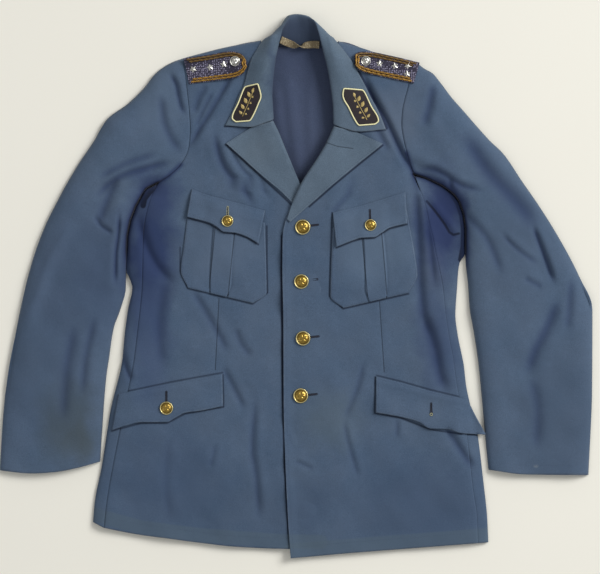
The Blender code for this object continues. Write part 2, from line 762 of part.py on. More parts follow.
def lapel(side, table):
    """The outer edge curves up to the lapel's tip, one row before the last, and runs straight from there."""
    rows = row_table(table[:-1], (0, 0.14, 0.29, 0.45, 0.61, 0.77, 0.9, 1))
    rows = np.vstack([rows, (rows[-1] + table[-1]) / 2, table[-1]])
    width = np.linalg.norm(rows[:, 2:] - rows[:, :2], axis=1)
    round_part = np.minimum(LAPEL_ROLL, width * 0.3)
    fold = np.stack([round_part * share for share in (0, 0.3, 1)], axis=1) / width[:, None]
    flat = fold[:, 2:] + (1 - fold[:, 2:]) * np.array((0.2, 0.42, 0.64, 0.84, 1))
    grid = plan_grid(rows, np.concatenate([fold, flat], axis=1))
    low = front_height(grid[..., 0], grid[..., 1], side)
    rest = CLOTH / 2 + GAP + FACING / 2 + 0.3
    curl = lapel_curl(rows[:, 1], side)[:, None]
    start = curl + 0.15 + (rest - 0.15) * (1 - curl / LAPEL_ROLL)
    crest = np.maximum(2 * curl, rest + 0.05)
    rise = np.zeros_like(low)
    rise[:, :1] = start
    rise[:, 1:2] = start + (crest - start) * 0.71
    rise[:, 2:3] = crest
    fall = np.array((0.12, 0.38, 0.68, 0.9, 1))
    rise[:, 3:] = crest + (rest - crest) * fall
    low[:, :2] = low[:, 2:3]
    return sheet("lapel_" + side, raised(grid, low + rise), FACING, "navy_cloth")


def collar():
    """Sections from the neckline over the stand's crest to the fall's edge."""
    table = np.asarray(COLLAR, float)
    rows = []
    for row in table:
        x, y = row[:2]
        side = "right" if x < 5 else "left"
        at_back = abs(x - 5) < 44
        low = CLOTH / 2 + neck_lift(x, y) if at_back else front_height(row[0], row[1], side)
        row = np.insert(row, 2, float(low) + CLOTH / 2 + GAP + FACING / 2 + 0.4)
        row[[5, 8]] += neck_lift(x, y) * (not at_back)
        if not at_back:
            low = front_height(row[9], row[10], side)
            row[11] = max(row[11], float(low) + CLOTH / 2 + GAP + FACING / 2 + 0.5)
        rows.append(row)
    rows = np.array(rows)
    rows = through(lengths(rows[:, 3:5]), rows, np.linspace(0, 1, 33))
    down = np.array((0, 0.15, 0.35, 0.57, 0.79, 1))
    grid = []
    for row in rows:
        side = "right" if row[0] < 5 else "left"
        end = table[0 if side == "right" else -1, 2:4]
        near = max(0, 1 - np.linalg.norm(row[3:5] - end) / NOTCH_REACH) ** 2
        dip = one_value(NOTCH_DIP[side], down) * near
        points = row.reshape(4, 3)
        knots = lengths(points)
        at = np.concatenate([
            np.linspace(0, knots[1], 4)[:-1],
            np.linspace(knots[1], knots[2], 4)[:-1],
            knots[2] + (1 - knots[2]) * down,
        ])
        section = through(knots, points, at)
        turn, edge = points[2, 2], points[3, 2]
        share = np.clip((section[6:, 2] - edge) / (turn - edge), 0, 1)
        under = 1 - soft_step(edge, 1, 4)
        section[6:, 2] = edge + (turn - edge) * (share * (1 - under) + share**3 * under)
        section[6:, 1] += dip
        section[4:6, 1] += dip[0] * np.array((0.33, 0.67))
        grid.append(section)
    return sheet("collar", np.array(grid), FACING, "navy_cloth")


# Pockets and what is sewn or pinned on

def pocket(name, table, pleat, on):
    start, end = pleat
    across = (0, start / 2, start - 0.012, start, (start + end) / 2, end, end + 0.012, (1 + end) / 2, 1)
    rows = row_table(table, (0, 0.14, 0.32, 0.5, 0.68, 0.84, 1))
    grid = draped(plan_grid(rows, across), on, POCKET, reach=7)
    grid[:, 3:6, 2] += PLEAT
    return sheet(name, grid, POCKET, "navy_cloth")


def flap(name, on):
    head, foot = FLAPS[name]
    across = np.linspace(0, 1, 13)
    top, low = along(head, across), along(foot, across)
    down = np.array((0, 0.25, 0.5, 0.75, 1))[:, None, None]
    grid = draped(low + (top - low) * down, on, FLAP, reach=14)
    grid[..., 2] += FLAP_RISE
    return sheet(name, grid, FLAP, "navy_cloth")


def board(name, on):
    rows = through(lengths(np.asarray(BOARDS[name])[:, :2]), BOARDS[name], (0, 0.17, 0.34, 0.51, 0.68, 0.8, 0.9, 1))
    grid = plan_grid(rows, (0, 0.12, 0.3, 0.5, 0.7, 0.88, 1))
    return sheet(name, draped(grid, on, BOARD_WALL, reach=7, stiff=4), BOARD_WALL, "board_knit")


def patch(name):
    rows = row_table(PATCHES[name], (0, 0.08, 0.3, 0.55, 0.8, 0.95, 1))
    grid = plan_grid(rows, (0, 0.07, 0.3, 0.5, 0.7, 0.93, 1))
    grid = draped(grid, ["collar"], PATCH_WALL, reach=3, stiff=1)
    border = np.ones(grid.shape[:2])
    border[1:-1, 1:-1] = 0
    grid[..., 2] += border * PIPING_RISE
    return sheet(name, grid, PATCH_WALL, "patch_felt")


def button(name, on, finish="brass", steps=18):
    """A domed button with a raised rim, turned from its half profile."""
    x, y, diameter = BUTTONS[name]
    radius = diameter / 2
    seat = top_of(x, y, trees_of(on), radius)
    profile = (
        (0, 0.34),
        (0.35, 0.31),
        (0.66, 0.2),
        (0.8, 0.13),
        (0.88, 0.2),
        (0.96, 0.17),
        (1.0, 0.08),
        (0.9, 0.0),
        (0, 0.0),
    )
    points = [(radius * out, 0, radius * up) for out, up in profile]
    edges = [(i, i + 1) for i in range(len(points) - 1)]
    mesh = bpy.data.meshes.new(name)
    mesh.from_pydata([tuple(np.array(p) * MM) for p in points], edges, [])
    thing = bpy.data.objects.new(name, mesh)
    thing.location = (x * MM, y * MM, (seat + GAP) * MM)
    collection.objects.link(thing)
    paint(thing, finish)
    turn = thing.modifiers.new("turned", "SCREW")
    turn.axis = "Z"
    turn.angle = math.tau
    turn.steps = steps
    turn.render_steps = steps
    turn.use_merge_vertices = True
    turn.merge_threshold = 0.00005
    turn.use_smooth_shade = True
    return thing


def star(name, on):
    """A five-pointed star with a raised middle."""
    x, y, turn = STARS[name]
    seat = top_of(x, y, trees_of(on), STAR_RADIUS) + GAP
    rim = []
    for point in range(10):
        radius = STAR_RADIUS * (1 if point % 2 == 0 else 0.45)
        angle = math.radians(90 + turn + 36 * point)
        rim.append((radius * math.cos(angle), radius * math.sin(angle)))
    points = [(a, b, 0) for a, b in rim] + [(a, b, 0.7) for a, b in rim] + [(0, 0, 0), (0, 0, 2.2)]
    faces = []
    for i in range(10):
        j = (i + 1) % 10
        faces.append((i, j, 10 + j, 10 + i))
        faces.append((j, i, 20))
        faces.append((10 + i, 10 + j, 21))
    return mesh_object(name, points, faces, "silver", place=(x, y, seat))


def hanger_loop():
    """A tape sewn down at both ends and twisted once between them."""
    rows = np.asarray(LOOP, float)
    rows = through(lengths(rows[:, :2]), rows, np.linspace(0, 1, 17))
    trees = trees_of(["back", "collar"])
    seats = [top_of(x, y, trees, LOOP_WIDTH / 2) + GAP + LOOP_WALL / 2 for x, y in rows[:, :2]]
    centre = np.column_stack([rows[:, :2], seats + rows[:, 2]])
    run = np.gradient(centre, axis=0)
    grid = []
    for point, step, turn in zip(centre, run, np.radians(rows[:, 3])):
        level = np.cross((0, 0, 1), step)
        level /= np.linalg.norm(level)
        upright = np.cross(step, level)
        upright /= np.linalg.norm(upright)
        half = (level * math.cos(turn) + upright * math.sin(turn)) * LOOP_WIDTH / 2
        grid.append([point - half, point, point + half])
    return sheet("hanger_loop", np.array(grid), LOOP_WALL, "tape")


for leftover in list(bpy.data.objects):
    bpy.data.objects.remove(leftover)
collection = bpy.data.collections.new("uniform_jacket")
bpy.context.scene.collection.children.link(collection)

back()
front("right", RIGHT_FRONT_EDGE, RIGHT_SIDE, RIGHT_ARMHOLE, RIGHT_HEM, RIGHT_SHOULDER)
front("left", LEFT_FRONT_EDGE, LEFT_SIDE, LEFT_ARMHOLE, LEFT_HEM, LEFT_SHOULDER)
side_panel("right", RIGHT_SIDE, RIGHT_ARMHOLE)
side_panel("left", LEFT_SIDE, LEFT_ARMHOLE)
sleeves("right", RIGHT_SLEEVE, RIGHT_ARMHOLE, RIGHT_CUFF)
sleeves("left", LEFT_SLEEVE, LEFT_ARMHOLE, LEFT_CUFF)
lapel("right", RIGHT_LAPEL)
lapel("left", LEFT_LAPEL)
collar()
hanger_loop()
patch("collar_patch_right")
patch("collar_patch_left")
pocket("chest_pocket_right", RIGHT_POCKET, RIGHT_POCKET_PLEAT, ["front_right"])
pocket("chest_pocket_left", LEFT_POCKET, LEFT_POCKET_PLEAT, ["front_left"])
flap("chest_flap_right", ["front_right", "chest_pocket_right"])
flap("chest_flap_left", ["front_left", "chest_pocket_left"])
flap("hip_flap_right", ["front_right", "side_right"])
flap("hip_flap_left", ["front_left", "side_left"])
board("shoulder_board_right", ["front_right", "top_sleeve_right", "collar"])
board("shoulder_board_left", ["front_left", "top_sleeve_left", "collar"])
for number in range(1, 5):
    button("front_button_%d" % number, ["front_left", "lapel_left"], steps=20)
button("chest_button_right", ["chest_flap_right"])
button("chest_button_left", ["chest_flap_left"])
button("hip_button_right", ["hip_flap_right"])
button("board_button_right", ["shoulder_board_right"], finish="silver", steps=14)
button("board_button_left", ["shoulder_board_left"], finish="silver", steps=14)
for star_name in STARS:
    star(star_name, ["shoulder_board_right", "shoulder_board_left"])
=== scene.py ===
"""Looks of the railway uniform jacket, laid flat, front up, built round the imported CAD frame.

Tables are in millimetres in the CAD's frame: -X is the wearer's right side, +Y runs to the collar, +Z is up.
Each cloth piece is a fine grid of points on the middle of its cloth, given its wall by a Solidify modifier.
"""

import math

import bpy
import numpy as np
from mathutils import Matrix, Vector
from mathutils.bvhtree import BVHTree


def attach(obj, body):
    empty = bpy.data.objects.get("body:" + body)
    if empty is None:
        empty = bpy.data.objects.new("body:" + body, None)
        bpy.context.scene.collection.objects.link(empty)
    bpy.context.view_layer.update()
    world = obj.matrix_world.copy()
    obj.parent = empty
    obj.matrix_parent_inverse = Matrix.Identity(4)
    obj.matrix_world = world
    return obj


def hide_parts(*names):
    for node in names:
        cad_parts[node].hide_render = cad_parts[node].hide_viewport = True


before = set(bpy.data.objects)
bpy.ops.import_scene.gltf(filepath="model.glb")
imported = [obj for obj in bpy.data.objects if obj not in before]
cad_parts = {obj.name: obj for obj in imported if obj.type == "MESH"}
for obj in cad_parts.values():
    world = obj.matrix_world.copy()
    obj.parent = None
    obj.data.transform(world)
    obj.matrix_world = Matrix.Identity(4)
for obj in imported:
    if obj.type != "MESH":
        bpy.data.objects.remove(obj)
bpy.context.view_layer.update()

MM = 0.001
CLOTH = 1.2
FACING = 1.6
FLAP = 1.6
POCKET = 1.2
GAP = 0.35
EDGE_ROLL = 30.0
NECK_LIFT = 2.3
LAPEL_ROLL = 4.0
LAPEL_LIFT = 2.2    # how far a lapel's outer edge stands off the front
PLEAT = 1.6
TAPER = 0.22        # share of a crease's length over which it runs out at each end
SIDE_MEETS = {"right": 14.0, "left": 34.0}  # y from which the side panels touch the sleeves
RIDGE = 0.62        # how much of its tabled lift a crease's side takes
CREASE_STRENGTH = {"sleeve_left": 0.72, "sleeve_right": 0.85}   # of its tabled height, where it isn't whole
CREASE_DYE_AND_SHADE = 0.5           # how much darker a crease is made, as unfaded cloth and painted shade
FLAP_LIFT = 1.7     # how far a flap's free foot stands off the pocket
EDGE_LIFT = 1.8     # how far the left front's free edge stands off the right front
EDGE_DIP = 0.55     # how far a folded edge is pressed down
SEAM_DIP = 0.45     # depth of the groove along a seam
DART_DIP = 0.5      # and along a dart
SEAM_WIDTH = 2.6    # half width of these grooves
NO_CLOTH = 15       # height taken where no cloth is found below a point

BODY_LOFT = ((-410, 6), (-250, 7.5), (0, 9.5), (150, 12), (370, 12))
SLEEVE_LOFT = ((0, 12), (0.18, 16), (0.5, 13), (1, 9))

# Side seams: seam x, seam y, edge x, edge y, from hem to armpit.
SIDES = {
    "right": (
        (-288, -362, -304, -353.5), (-283.5, -320.5, -301.5, -325), (-273, -260.5, -290.5, -268),
        (-258, -185.5, -277.5, -185.5), (-243, -110.5, -260, -110.5), (-238.5, -73, -256.5, -73),
        (-234, -35.5, -251.5, -35.5), (-231, -2.5, -245, -2.5), (-230, 27.5, -253.4, 26),
        (-229, 75.5, -252, 75.5), (-227, 95, -247.6, 95), (-222, 119, -238.8, 119.5),
        (-212, 148.5, -228.6, 140.8),
    ),
    "left": (
        (273, -385, 288, -384), (271, -343, 286, -343), (265.5, -305.5, 282, -305.5),
        (256, -223, 272, -223), (249, -185.5, 262.5, -185.5), (241, -148, 254.5, -148),
        (236, -110.5, 251, -118), (229, -73, 242, -73), (224, -38.5, 238.5, -43), (220, -2.5, 241, -2.5),
        (214, 29, 243.5, 27.5), (209, 51.5, 249.6, 50), (205, 72.5, 252.6, 72.5), (200, 92, 252, 92),
        (196, 111.5, 249, 110), (191, 130, 241.8, 128), (183, 152, 220.6, 146.6),
    ),
}
# Where the side panels' top ends meet the sleeves, from the side seam out: x, y.
SIDE_TOPS = {
    "right": ((-208.6, 153.4), (-219, 147.6), (-229.2, 142.4)),
    "left": ((178.4, 164.4), (196.5, 160.2), (219.8, 149)),
}
# Armhole seams from armpit to shoulder: x, y.
ARMHOLES = {
    "right": (
        (-206.5, 155.5), (-191, 164.5), (-172.5, 182), (-160, 209), (-158, 237.5), (-159.5, 262),
        (-163.5, 300.5), (-168, 341.5),
    ),
    "left": (
        (176, 168), (172, 178.5), (165.5, 200), (159, 228.5), (157.5, 242), (158.5, 260), (167.5, 299),
        (178.5, 336.5),
    ),
}
# Shoulder seams from the armhole to the neck: x, y.
SHOULDERS = {
    "right": ((-168, 341.5), (-144, 348), (-106, 357.5), (-52.5, 368)),
    "left": ((178.5, 336.5), (156, 338.5), (133.5, 343), (112.5, 352), (63, 367)),
}
# Inner edges of the fronts, then roll line and neckline: level y, x.
FRONT_EDGES = {
    "right": (
        (-394, 37.5), (69.5, 37), (93.5, 33), (122, 21), (152, 7), (209, -18), (249, -35.5), (279.5, -45),
        (308, -52), (339.5, -55.5), (368, -52.5),
    ),
    "left": (
        (-407.5, -8), (-350.5, -12), (-265, -16), (-179.5, -18.5), (-50.5, -19), (26, -20.5), (75, -20),
        (95, -16.5), (121, -6.5), (152.5, 7.5), (194, 34), (221, 49), (242, 58), (272, 64), (302, 68),
        (336.5, 69), (367, 63),
    ),
}
# Hems from the inner edge to the side seam: x, y.
HEMS = {
    "right": (
        (37.5, -394), (-21, -393.5), (-87, -390.5), (-144, -384.5), (-195, -377.5), (-234, -372.5),
        (-288, -362),
    ),
    "left": ((-8, -407.5), (28.5, -404.5), (66, -401), (156, -394), (273, -385)),
}
BACK_HEM = ((-304, -350), (-195, -374), (-21, -389), (120, -389), (288, -379))
BACK_NECK = (
    (-168, 341.5), (-106, 357.5), (-55, 367), (-31, 363), (3, 361), (39, 361), (66, 366.5), (112.5, 352),
    (178.5, 336.5),
)
# Sleeves from the armhole down: inner x, inner y, outer x, outer y.
SLEEVES = {
    "right": (
        (-206.5, 155.5, -168, 341.5), (-225, 145.8, -186, 335), (-240, 120.5, -208.5, 320),
        (-248.5, 98, -228, 296), (-253, 75.5, -250.5, 274), (-254, 51.5, -282.5, 250),
        (-255, 27.5, -303, 216.5), (-255.8, -5.5, -329, 177.5), (-264, -35.5, -356, 129.5),
        (-274, -64, -378, 84.5), (-280.5, -106, -396, 33.5), (-285, -137.5, -412.5, -34),
        (-291, -215.5, -436.5, -170.5), (-294, -263, -444, -276),
    ),
    "left": (
        (176, 168, 178.5, 336.5), (196, 161.6, 192, 326), (219, 150.6, 204, 319), (237, 137, 216, 305),
        (245, 126, 232.5, 283), (251, 108.5, 251.5, 261.5), (254, 87.5, 271, 239), (254, 60.5, 290, 218),
        (255, 33.5, 310.5, 198), (258.5, 2, 337.5, 158.5), (261, -34, 366, 117), (267, -68.5, 394.5, 71),
        (273, -107.5, 423, 17), (277, -145, 444, -36), (284, -223, 443.5, -155.5), (289, -275, 438, -283),
    ),
}
CUFFS = {
    "right": ((-294, -263), (-329, -272.5), (-362, -278.5), (-396, -280.5), (-444, -276)),
    "left": ((289, -275), (345, -282), (438, -283)),
}
# Lapels from the break up: roll x, roll y, edge x, edge y.
LAPELS = {
    "right": (
        (28, 103, 24, 96), (15, 134, -6, 125.5), (6, 153, -25.5, 144.5), (-2.5, 173, -48.5, 163.5),
        (-14, 200, -81, 192.5), (-25.5, 228.5, -104.5, 213.5), (-34.5, 247, -66.5, 237.5),
    ),
    "left": (
        (-13.5, 100, -9, 96), (-6.5, 121, 20, 121.5), (7.5, 152.5, 57, 154), (34, 194, 97, 187),
        (44, 211, 115, 201), (50, 223, 129.5, 213), (57, 239, 88, 231),
    ),
}
# How the collar's ends dip to the notch: share down its fall, shift in y. It fades within NOTCH_REACH.
NOTCH_DIP = {
    "right": ((0, -2.2), (0.15, -3.8), (0.32, -5.9), (1, 1)),
    "left": ((0, -3.8), (0.15, -5.9), (0.33, -8), (1, -2.7)),
}
NOTCH_REACH = 18
# Collar sections: seam x, y; crest x, y, z; turn x, y, z; outer edge x, y, z.
COLLAR = (
    (-41, 255, -34, 250.5, 17.5, -44, 247.5, 20.5, -106.5, 239.5, 15.2),
    (-47, 269, -35, 267.5, 19.5, -49, 267, 22.5, -95, 261.5, 15.2),
    (-50.5, 286, -36, 285.5, 20.5, -50, 285, 24, -86, 284, 15.2),
    (-54, 305, -35, 305, 21.5, -49, 304, 25.5, -77.5, 302, 15.4),
    (-57, 323, -33, 323, 22.5, -46, 322, 27, -72.5, 320.5, 15.8),
    (-57.5, 339, -31, 339.5, 23.5, -43, 339, 28, -67, 338.5, 16),
    (-56.5, 353, -27.5, 356.5, 24.5, -38, 356, 29, -57.5, 354.5, 15),
    (-51, 362, -23.5, 372.5, 26, -34.5, 372.5, 27, -47.5, 369.5, 9),
    (-38, 361, -20, 386, 25, -32.5, 379, 19, -41, 372.5, 3),
    (-26, 360, -14, 396, 20, -23, 389.5, 12, -34, 364, 0.8),
    (-12, 359.5, -7, 404, 14, -10, 405.5, 7, -18, 354, 0.8),
    (3, 359, 2, 405.5, 11, 1, 407.2, 5.5, 3, 350, 0.8),
    (18, 359, 14, 403.5, 14, 16, 404.8, 7, 24, 354, 0.8),
    (33, 359, 27, 397, 20, 33, 391.5, 12, 41, 364, 0.8),
    (48, 360, 33.5, 381, 25, 45.5, 378.5, 19, 52.5, 373.5, 3),
    (61, 361, 38, 364, 26, 49, 366, 27, 59.5, 367, 9),
    (69, 352, 42.5, 346, 24.5, 55, 346, 29, 76, 346, 15),
    (71, 339, 45.5, 335, 23.5, 58, 334.5, 28, 85, 334, 16),
    (71.5, 322, 48.5, 321, 22.5, 62, 320.5, 27, 92.5, 320, 15.8),
    (70.5, 303, 51.5, 303.5, 21.5, 66, 303, 25.5, 102, 303, 15.4),
    (68, 285, 54, 286, 20.5, 68, 285.5, 24, 111, 284.5, 15.2),
    (65, 268, 56, 266, 19.5, 70, 265, 22.5, 123, 262.5, 15.2),
    (61.5, 250, 56.5, 243.5, 17.5, 68, 241, 20.5, 134.5, 237.5, 15.2),
)
# Broad folds, as in the solids: panel, from x, y, to x, y, half width, height.
FOLDS = (
    ("sleeve_right", -165, 181, -281, 142, 17, -3.5),
    ("sleeve_right", -257, 118, -272, 8, 15, 3),
    ("sleeve_right", -190, 320, -166, 240, 16, -2.5),
    ("sleeve_left", 270, 204, 348, 114, 18, -3),
    ("sleeve_left", 365, 65, 372, 22, 16, -3.5),
    ("sleeve_left", 393, -21, 350, -126, 18, -2.5),
    ("front_right", -118, 215, -66, 132, 16, 2.5),
    ("front_right", -230, 95, -188, 8, 16, -2),
    ("front_left", 60, -150, 75, -272, 18, 1.8),
    ("front_left", 196, -60, 222, -146, 16, -2),
)
# Creases: panel, half width, height, lift of the cloth on their left, points from end to end.
CREASES = (
    ("front_right", 6, -4.2, 3, ((-124, 236), (-116, 199), (-106, 175), (-88, 154), (-72, 136), (-63, 114))),
    ("front_right", 3.5, -2.2, 1.6, ((-99, 208), (-84, 179), (-68, 162), (-50, 146), (-38, 130))),
    ("front_right", 4.5, -3.8, 2.4, ((-90, 327), (-114, 286), (-130, 259), (-146, 233), (-164, 203))),
    ("front_right", 4, -2.4, 1.6, ((-122, 296), (-140, 262), (-152, 232))),
    ("front_right", 6, -2.6, 2, ((-132, 304), (-146, 282), (-154, 256))),
    ("front_right", 7, -4.4, 2.8, ((-238, 112), (-228, 70), (-211, 33), (-180, 0))),
    ("front_right", 9, -2.6, 2, ((-196, 20), (-206, -60), (-200, -130))),
    ("front_right", 4, -3.6, 2.2, ((-263, -92), (-256, -118), (-246, -144))),
    ("front_right", 4.5, -2.2, 1.8, ((-112, -118), (-95, -150), (-76, -188))),
    ("front_right", 5.5, -2.6, 2, ((-160, 0), (-142, -28), (-118, -70), (-100, -104))),
    ("front_right", 5, -2, 1.4, ((-92, -60), (-84, -84), (-66, -108))),
    ("front_right", 5, -2.6, 2.2, ((-61, -160), (-66, -246), (-60, -285), (-55, -360))),
    ("front_right", 6, -1, 1, ((-190, -220), (-196, -285), (-190, -355))),
    ("front_right", 4, -1.4, 1, ((-122, -236), (-124, -252), (-130, -272))),
    ("front_left", 4.5, -2, 1.6, ((103, -108), (92, -150), (70, -204))),
    ("front_left", 4, -2, 1.6, ((70, -196), (76, -226), (84, -256), (94, -290))),
    ("front_left", 3, -1.8, 1.1, ((-3, -262), (11, -267), (27, -275))),
    ("front_left", 4, -1.8, 1.2, ((150, -198), (151, -212), (150, -228))),
    ("front_left", 8, -4.4, 3, ((186, -34), (207, -92), (216, -138), (230, -164))),
    ("front_left", 6, -3.6, 2.6, ((222, -206), (240, -236), (268, -276))),
    ("front_left", 7, -4, 3.2, ((178, 170), (183, 69), (188, -30), (202, -84))),
    ("front_left", 4.5, -2.8, 2.4, ((192, 150), (199, 80), (208, -10))),
    ("front_left", 4.5, -2.6, 2, ((50, 106), (68, 126), (90, 152))),
    ("front_left", 6, -3, 2, ((142, 196), (120, 240), (110, 290))),
    ("front_left", 5, -6.4, 2.4, ((96, 326), (111, 292), (134, 250), (158, 199), (173, 172), (182, 150))),
    ("sleeve_right", 4, -4.6, 3, ((-191, 322), (-179, 300), (-175, 279), (-171, 266), (-164, 254))),
    ("sleeve_right", 6, -3.2, 2, ((-203, 292), (-199, 250), (-184, 215), (-168, 196))),
    ("sleeve_right", 5.5, -5.6, 3.4,
     ((-182, 186), (-208, 181), (-229, 175), (-259, 166), (-283, 150), (-303, 128))),
    ("sleeve_right", 5, -3.6, 2.6, ((-205, 199), (-246, 187), (-300, 160))),
    ("sleeve_right", 5, -3.2, 2.4, ((-200, 166), (-218, 153), (-238, 138))),
    ("sleeve_right", 7, -3.6, 2.8, ((-266, 164), (-282, 132), (-297, 90))),
    ("sleeve_right", 3.5, -5.4, 3.4, ((-264, 116), (-266, 80), (-270, 47), (-271, -4))),
    ("sleeve_right", 3.5, -3.2, 2.2, ((-303, 108), (-292, 91), (-272, 78))),
    ("sleeve_right", 9, 3.4, -2.8, ((-328, 98), (-368, 41), (-380, 9), (-400, -42), (-413, -72))),
    ("sleeve_right", 8, -3, 2.2, ((-330, -50), (-345, -130), (-350, -210))),
    ("sleeve_right", 6, -2.6, 2, ((-300, -40), (-316, -110), (-322, -170))),
    ("sleeve_left", 6.5, -4.2, 2.8, ((206, 306), (201, 276), (190, 236))),
    ("sleeve_left", 12, -5, 2.6, ((246, 238), (268, 200), (288, 170), (318, 138), (344, 108), (362, 76))),
    ("sleeve_left", 3.5, -3, 2.4, ((306, 80), (330, 56), (364, 32))),
    ("sleeve_left", 4, -6.4, 3.8, ((352, 96), (364, 66), (376, 34), (388, 0))),
    ("sleeve_left", 4, -3, 2, ((340, 13), (355, 5), (370, -3))),
    ("sleeve_left", 8, -4.6, 3.2, ((395, -15), (372, -70), (358, -96), (344, -138))),
    ("sleeve_left", 6, -3, 2.2, ((412, 15), (410, -25), (405, -70))),
    ("sleeve_left", 4, -4.6, 3, ((230, 164), (231, 146), (232, 128))),
    ("sleeve_left", 4.5, -4.2, 2.6, ((176, 172), (200, 176), (222, 167), (247, 151), (284, 142))),
    ("sleeve_left", 6, -3, 2.2, ((236, 122), (286, 70), (310, 10))),
    ("sleeve_left", 8, -2.8, 2, ((350, -130), (362, -190), (358, -250))),
    ("side_left", 3.2, -1.4, 4.4, ((188, 142), (206, 115), (223, 93), (241, 70))),
    ("back", 9, 2.4, 0, ((-14, 330), (-4, 240), (8, 150))),
    ("back", 8, 2, 0, ((28, 335), (22, 270), (24, 180))),
    ("back", 7, 1.8, 0, ((-30, 310), (-26, 250), (-16, 200))),
    ("back", 10, 1.6, 0, ((-180, -60), (-150, -180), (-160, -300))),
    ("back", 10, 1.6, 0, ((120, 60), (150, -80), (140, -220))),
    ("back", 9, 1.4, 0, ((-120, 250), (-60, 120), (-40, -20))),
)
# Puckers where the fuller sleeve is eased into the armhole: share of the armhole, length, height.
PUCKERS = {
    "right": (
        (0.2, 28, -2.2), (0.34, 32, -2.8), (0.47, 26, -1.8), (0.6, 30, -2.4), (0.74, 32, -2.2), (0.87, 28, -1.8),
    ),
    "left": (
        (0.16, 30, -2.9), (0.3, 26, -2.4), (0.43, 32, -3.1), (0.56, 26, -2.2), (0.7, 32, -2.7), (0.84, 28, -2.2),
    ),
}
# Slow unevenness of the cloth: direction in degrees, wavelength, height, phase.
SWELLS = (
    (12, 95, 0.6, 0.4),
    (63, 71, 0.45, 2.1),
    (101, 58, 0.4, 1.2),
    (148, 84, 0.55, 4),
    (35, 39, 0.2, 5.2),
    (120, 31, 0.14, 0.9),
)
# Pockets from the foot up: left x, left y, right x, right y; then where the pleat starts and ends.
POCKETS = {
    "right": (
        (-161.5, -2.5, -64.5, -25.5), (-172.5, 22.5, -44, -9), (-168, 60, -45, 40), (-160, 125, -47, 95),
    ),
    "left": (
        (71, -32.5, 168, -10), (51.5, -15, 181.5, 16.5), (52.5, 30, 178, 45), (55.5, 88, 164, 122),
    ),
}
PLEATS = {"right": (0.35, 0.58), "left": (0.41, 0.645)}
# Flaps: the sewn top edge, then the free foot, from left to right: x, y.
FLAPS = {
    "chest_flap_right": (
        ((-156, 145.5), (-138, 138.5), (-88.5, 125), (-46.5, 113)),
        ((-163, 104), (-129.5, 95), (-119, 89.5), (-108, 81.5), (-91, 80),
         (-73.5, 74), (-56.5, 64)),
    ),
    "chest_flap_left": (
        ((55, 110), (102, 122), (163.5, 141)),
        ((60.5, 59), (84.5, 68.5), (98, 72.5), (117, 73.5), (128, 80), (140, 87.5),
         (166, 94)),
    ),
    "hip_flap_right": (
        ((-265.5, -161.5), (-185, -145), (-110.5, -131.5)),
        ((-275.5, -215.5), (-252.5, -208), (-231.5, -203.5), (-193.5, -203.5), (-182, -197.5),
         (-166.5, -189.5), (-144, -186.5), (-109.5, -179.5)),
    ),
    "hip_flap_left": (
        ((120, -135.5), (156, -144), (202, -157), (256, -170)),
        ((119.5, -189), (156, -195.5), (184.5, -203.5), (201, -213), (227, -214),
         (248, -220), (284.5, -222.5)),
    ),
}
# Shoulder boards from the armhole in: foot x, foot y, top x, top y.
BOARDS = {
    "right": (
        (-159.8, 302.5, -168.3, 341), (-120, 307.5, -129.5, 346.5), (-90, 312, -97.5, 351.5),
        (-79, 318.5, -83.5, 348.5), (-72.8, 328.5, -74.5, 338.5),
    ),
    "left": (
        (176, 303.5, 185, 334.5), (137, 311.5, 141, 345), (106, 318.5, 106, 351),
        (94.5, 323.5, 94.5, 350.5), (88, 331, 87, 345.5),
    ),
}
BOARD_WALL = 2.4
BRAID = 1.75       # radius of one cord of the boards' braid
# Collar patches from the foot up: outer x, outer y, inner x, inner y.
PATCHES = {
    "right": (
        (-90, 246, -69, 247.5), (-95.5, 251, -66.5, 251), (-86, 275, -56.5, 272.5),
        (-77, 297, -52.5, 285), (-75.5, 298.5, -57, 302.5),
    ),
    "left": (
        (118, 242.5, 94, 240.5), (123.5, 247, 91, 244), (112, 270, 79.5, 266), (101.5, 291.5, 70, 287),
        (99.5, 293.5, 71.5, 295.5),
    ),
}
PATCH_WALL = 1
PIPING = 1.05     # radius of the patches' piping
# A sprig on each patch: leaf share across, share up, turn in degrees, length.
LEAVES = (
    (0.50, 0.78, 90, 9), (0.38, 0.66, 132, 9), (0.62, 0.66, 48, 9), (0.33, 0.50, 136, 9.5),
    (0.67, 0.50, 44, 9.5), (0.32, 0.34, 142, 9), (0.68, 0.34, 38, 9), (0.36, 0.20, 155, 7),
    (0.64, 0.20, 25, 7),
)
# Buttons: x, y, diameter.
BUTTONS = {
    "front_button_1": (10, 88.5, 23),
    "front_button_2": (8, 7, 22),
    "front_button_3": (10.5, -78, 22),
    "front_button_4": (7, -164, 22.5),
    "chest_button_right": (-102.5, 97.5, 17.5),
    "chest_button_left": (111.5, 91.5, 17.5),
    "hip_button_right": (-194, -182.5, 20),
    "board_button_right": (-91.5, 336.5, 15),
    "board_button_left": (104.5, 337, 14.5),
}
# Stars: x, y, turn in degrees.
STARS = {
    "star_right_1": (-108, 332, 8),
    "star_right_2": (-128.5, 327.5, 20),
    "star_right_3": (-154, 324.5, 35),
    "star_left_1": (125, 333, -6),
    "star_left_2": (148, 329.5, 14),
    "star_left_3": (167, 330, 40),
    "star_left_4": (166.5, 317.5, 10),
}
STAR_RADIUS = 5.8
# Hanger loop: x, y, rise over the cloth, turn in degrees.
LOOP = (
    (-22.5, 368.5, 0, 0), (-16, 366, 0.4, 0), (-6, 362, 2.5, 20), (3, 359.5, 4.5, 75), (9, 359, 4.5, 110),
    (16, 361, 3.2, 155), (27, 362, 0.4, 180), (35, 361.5, 0, 180),
)
LOOP_WIDTH = 11
LOOP_WALL = 0.8
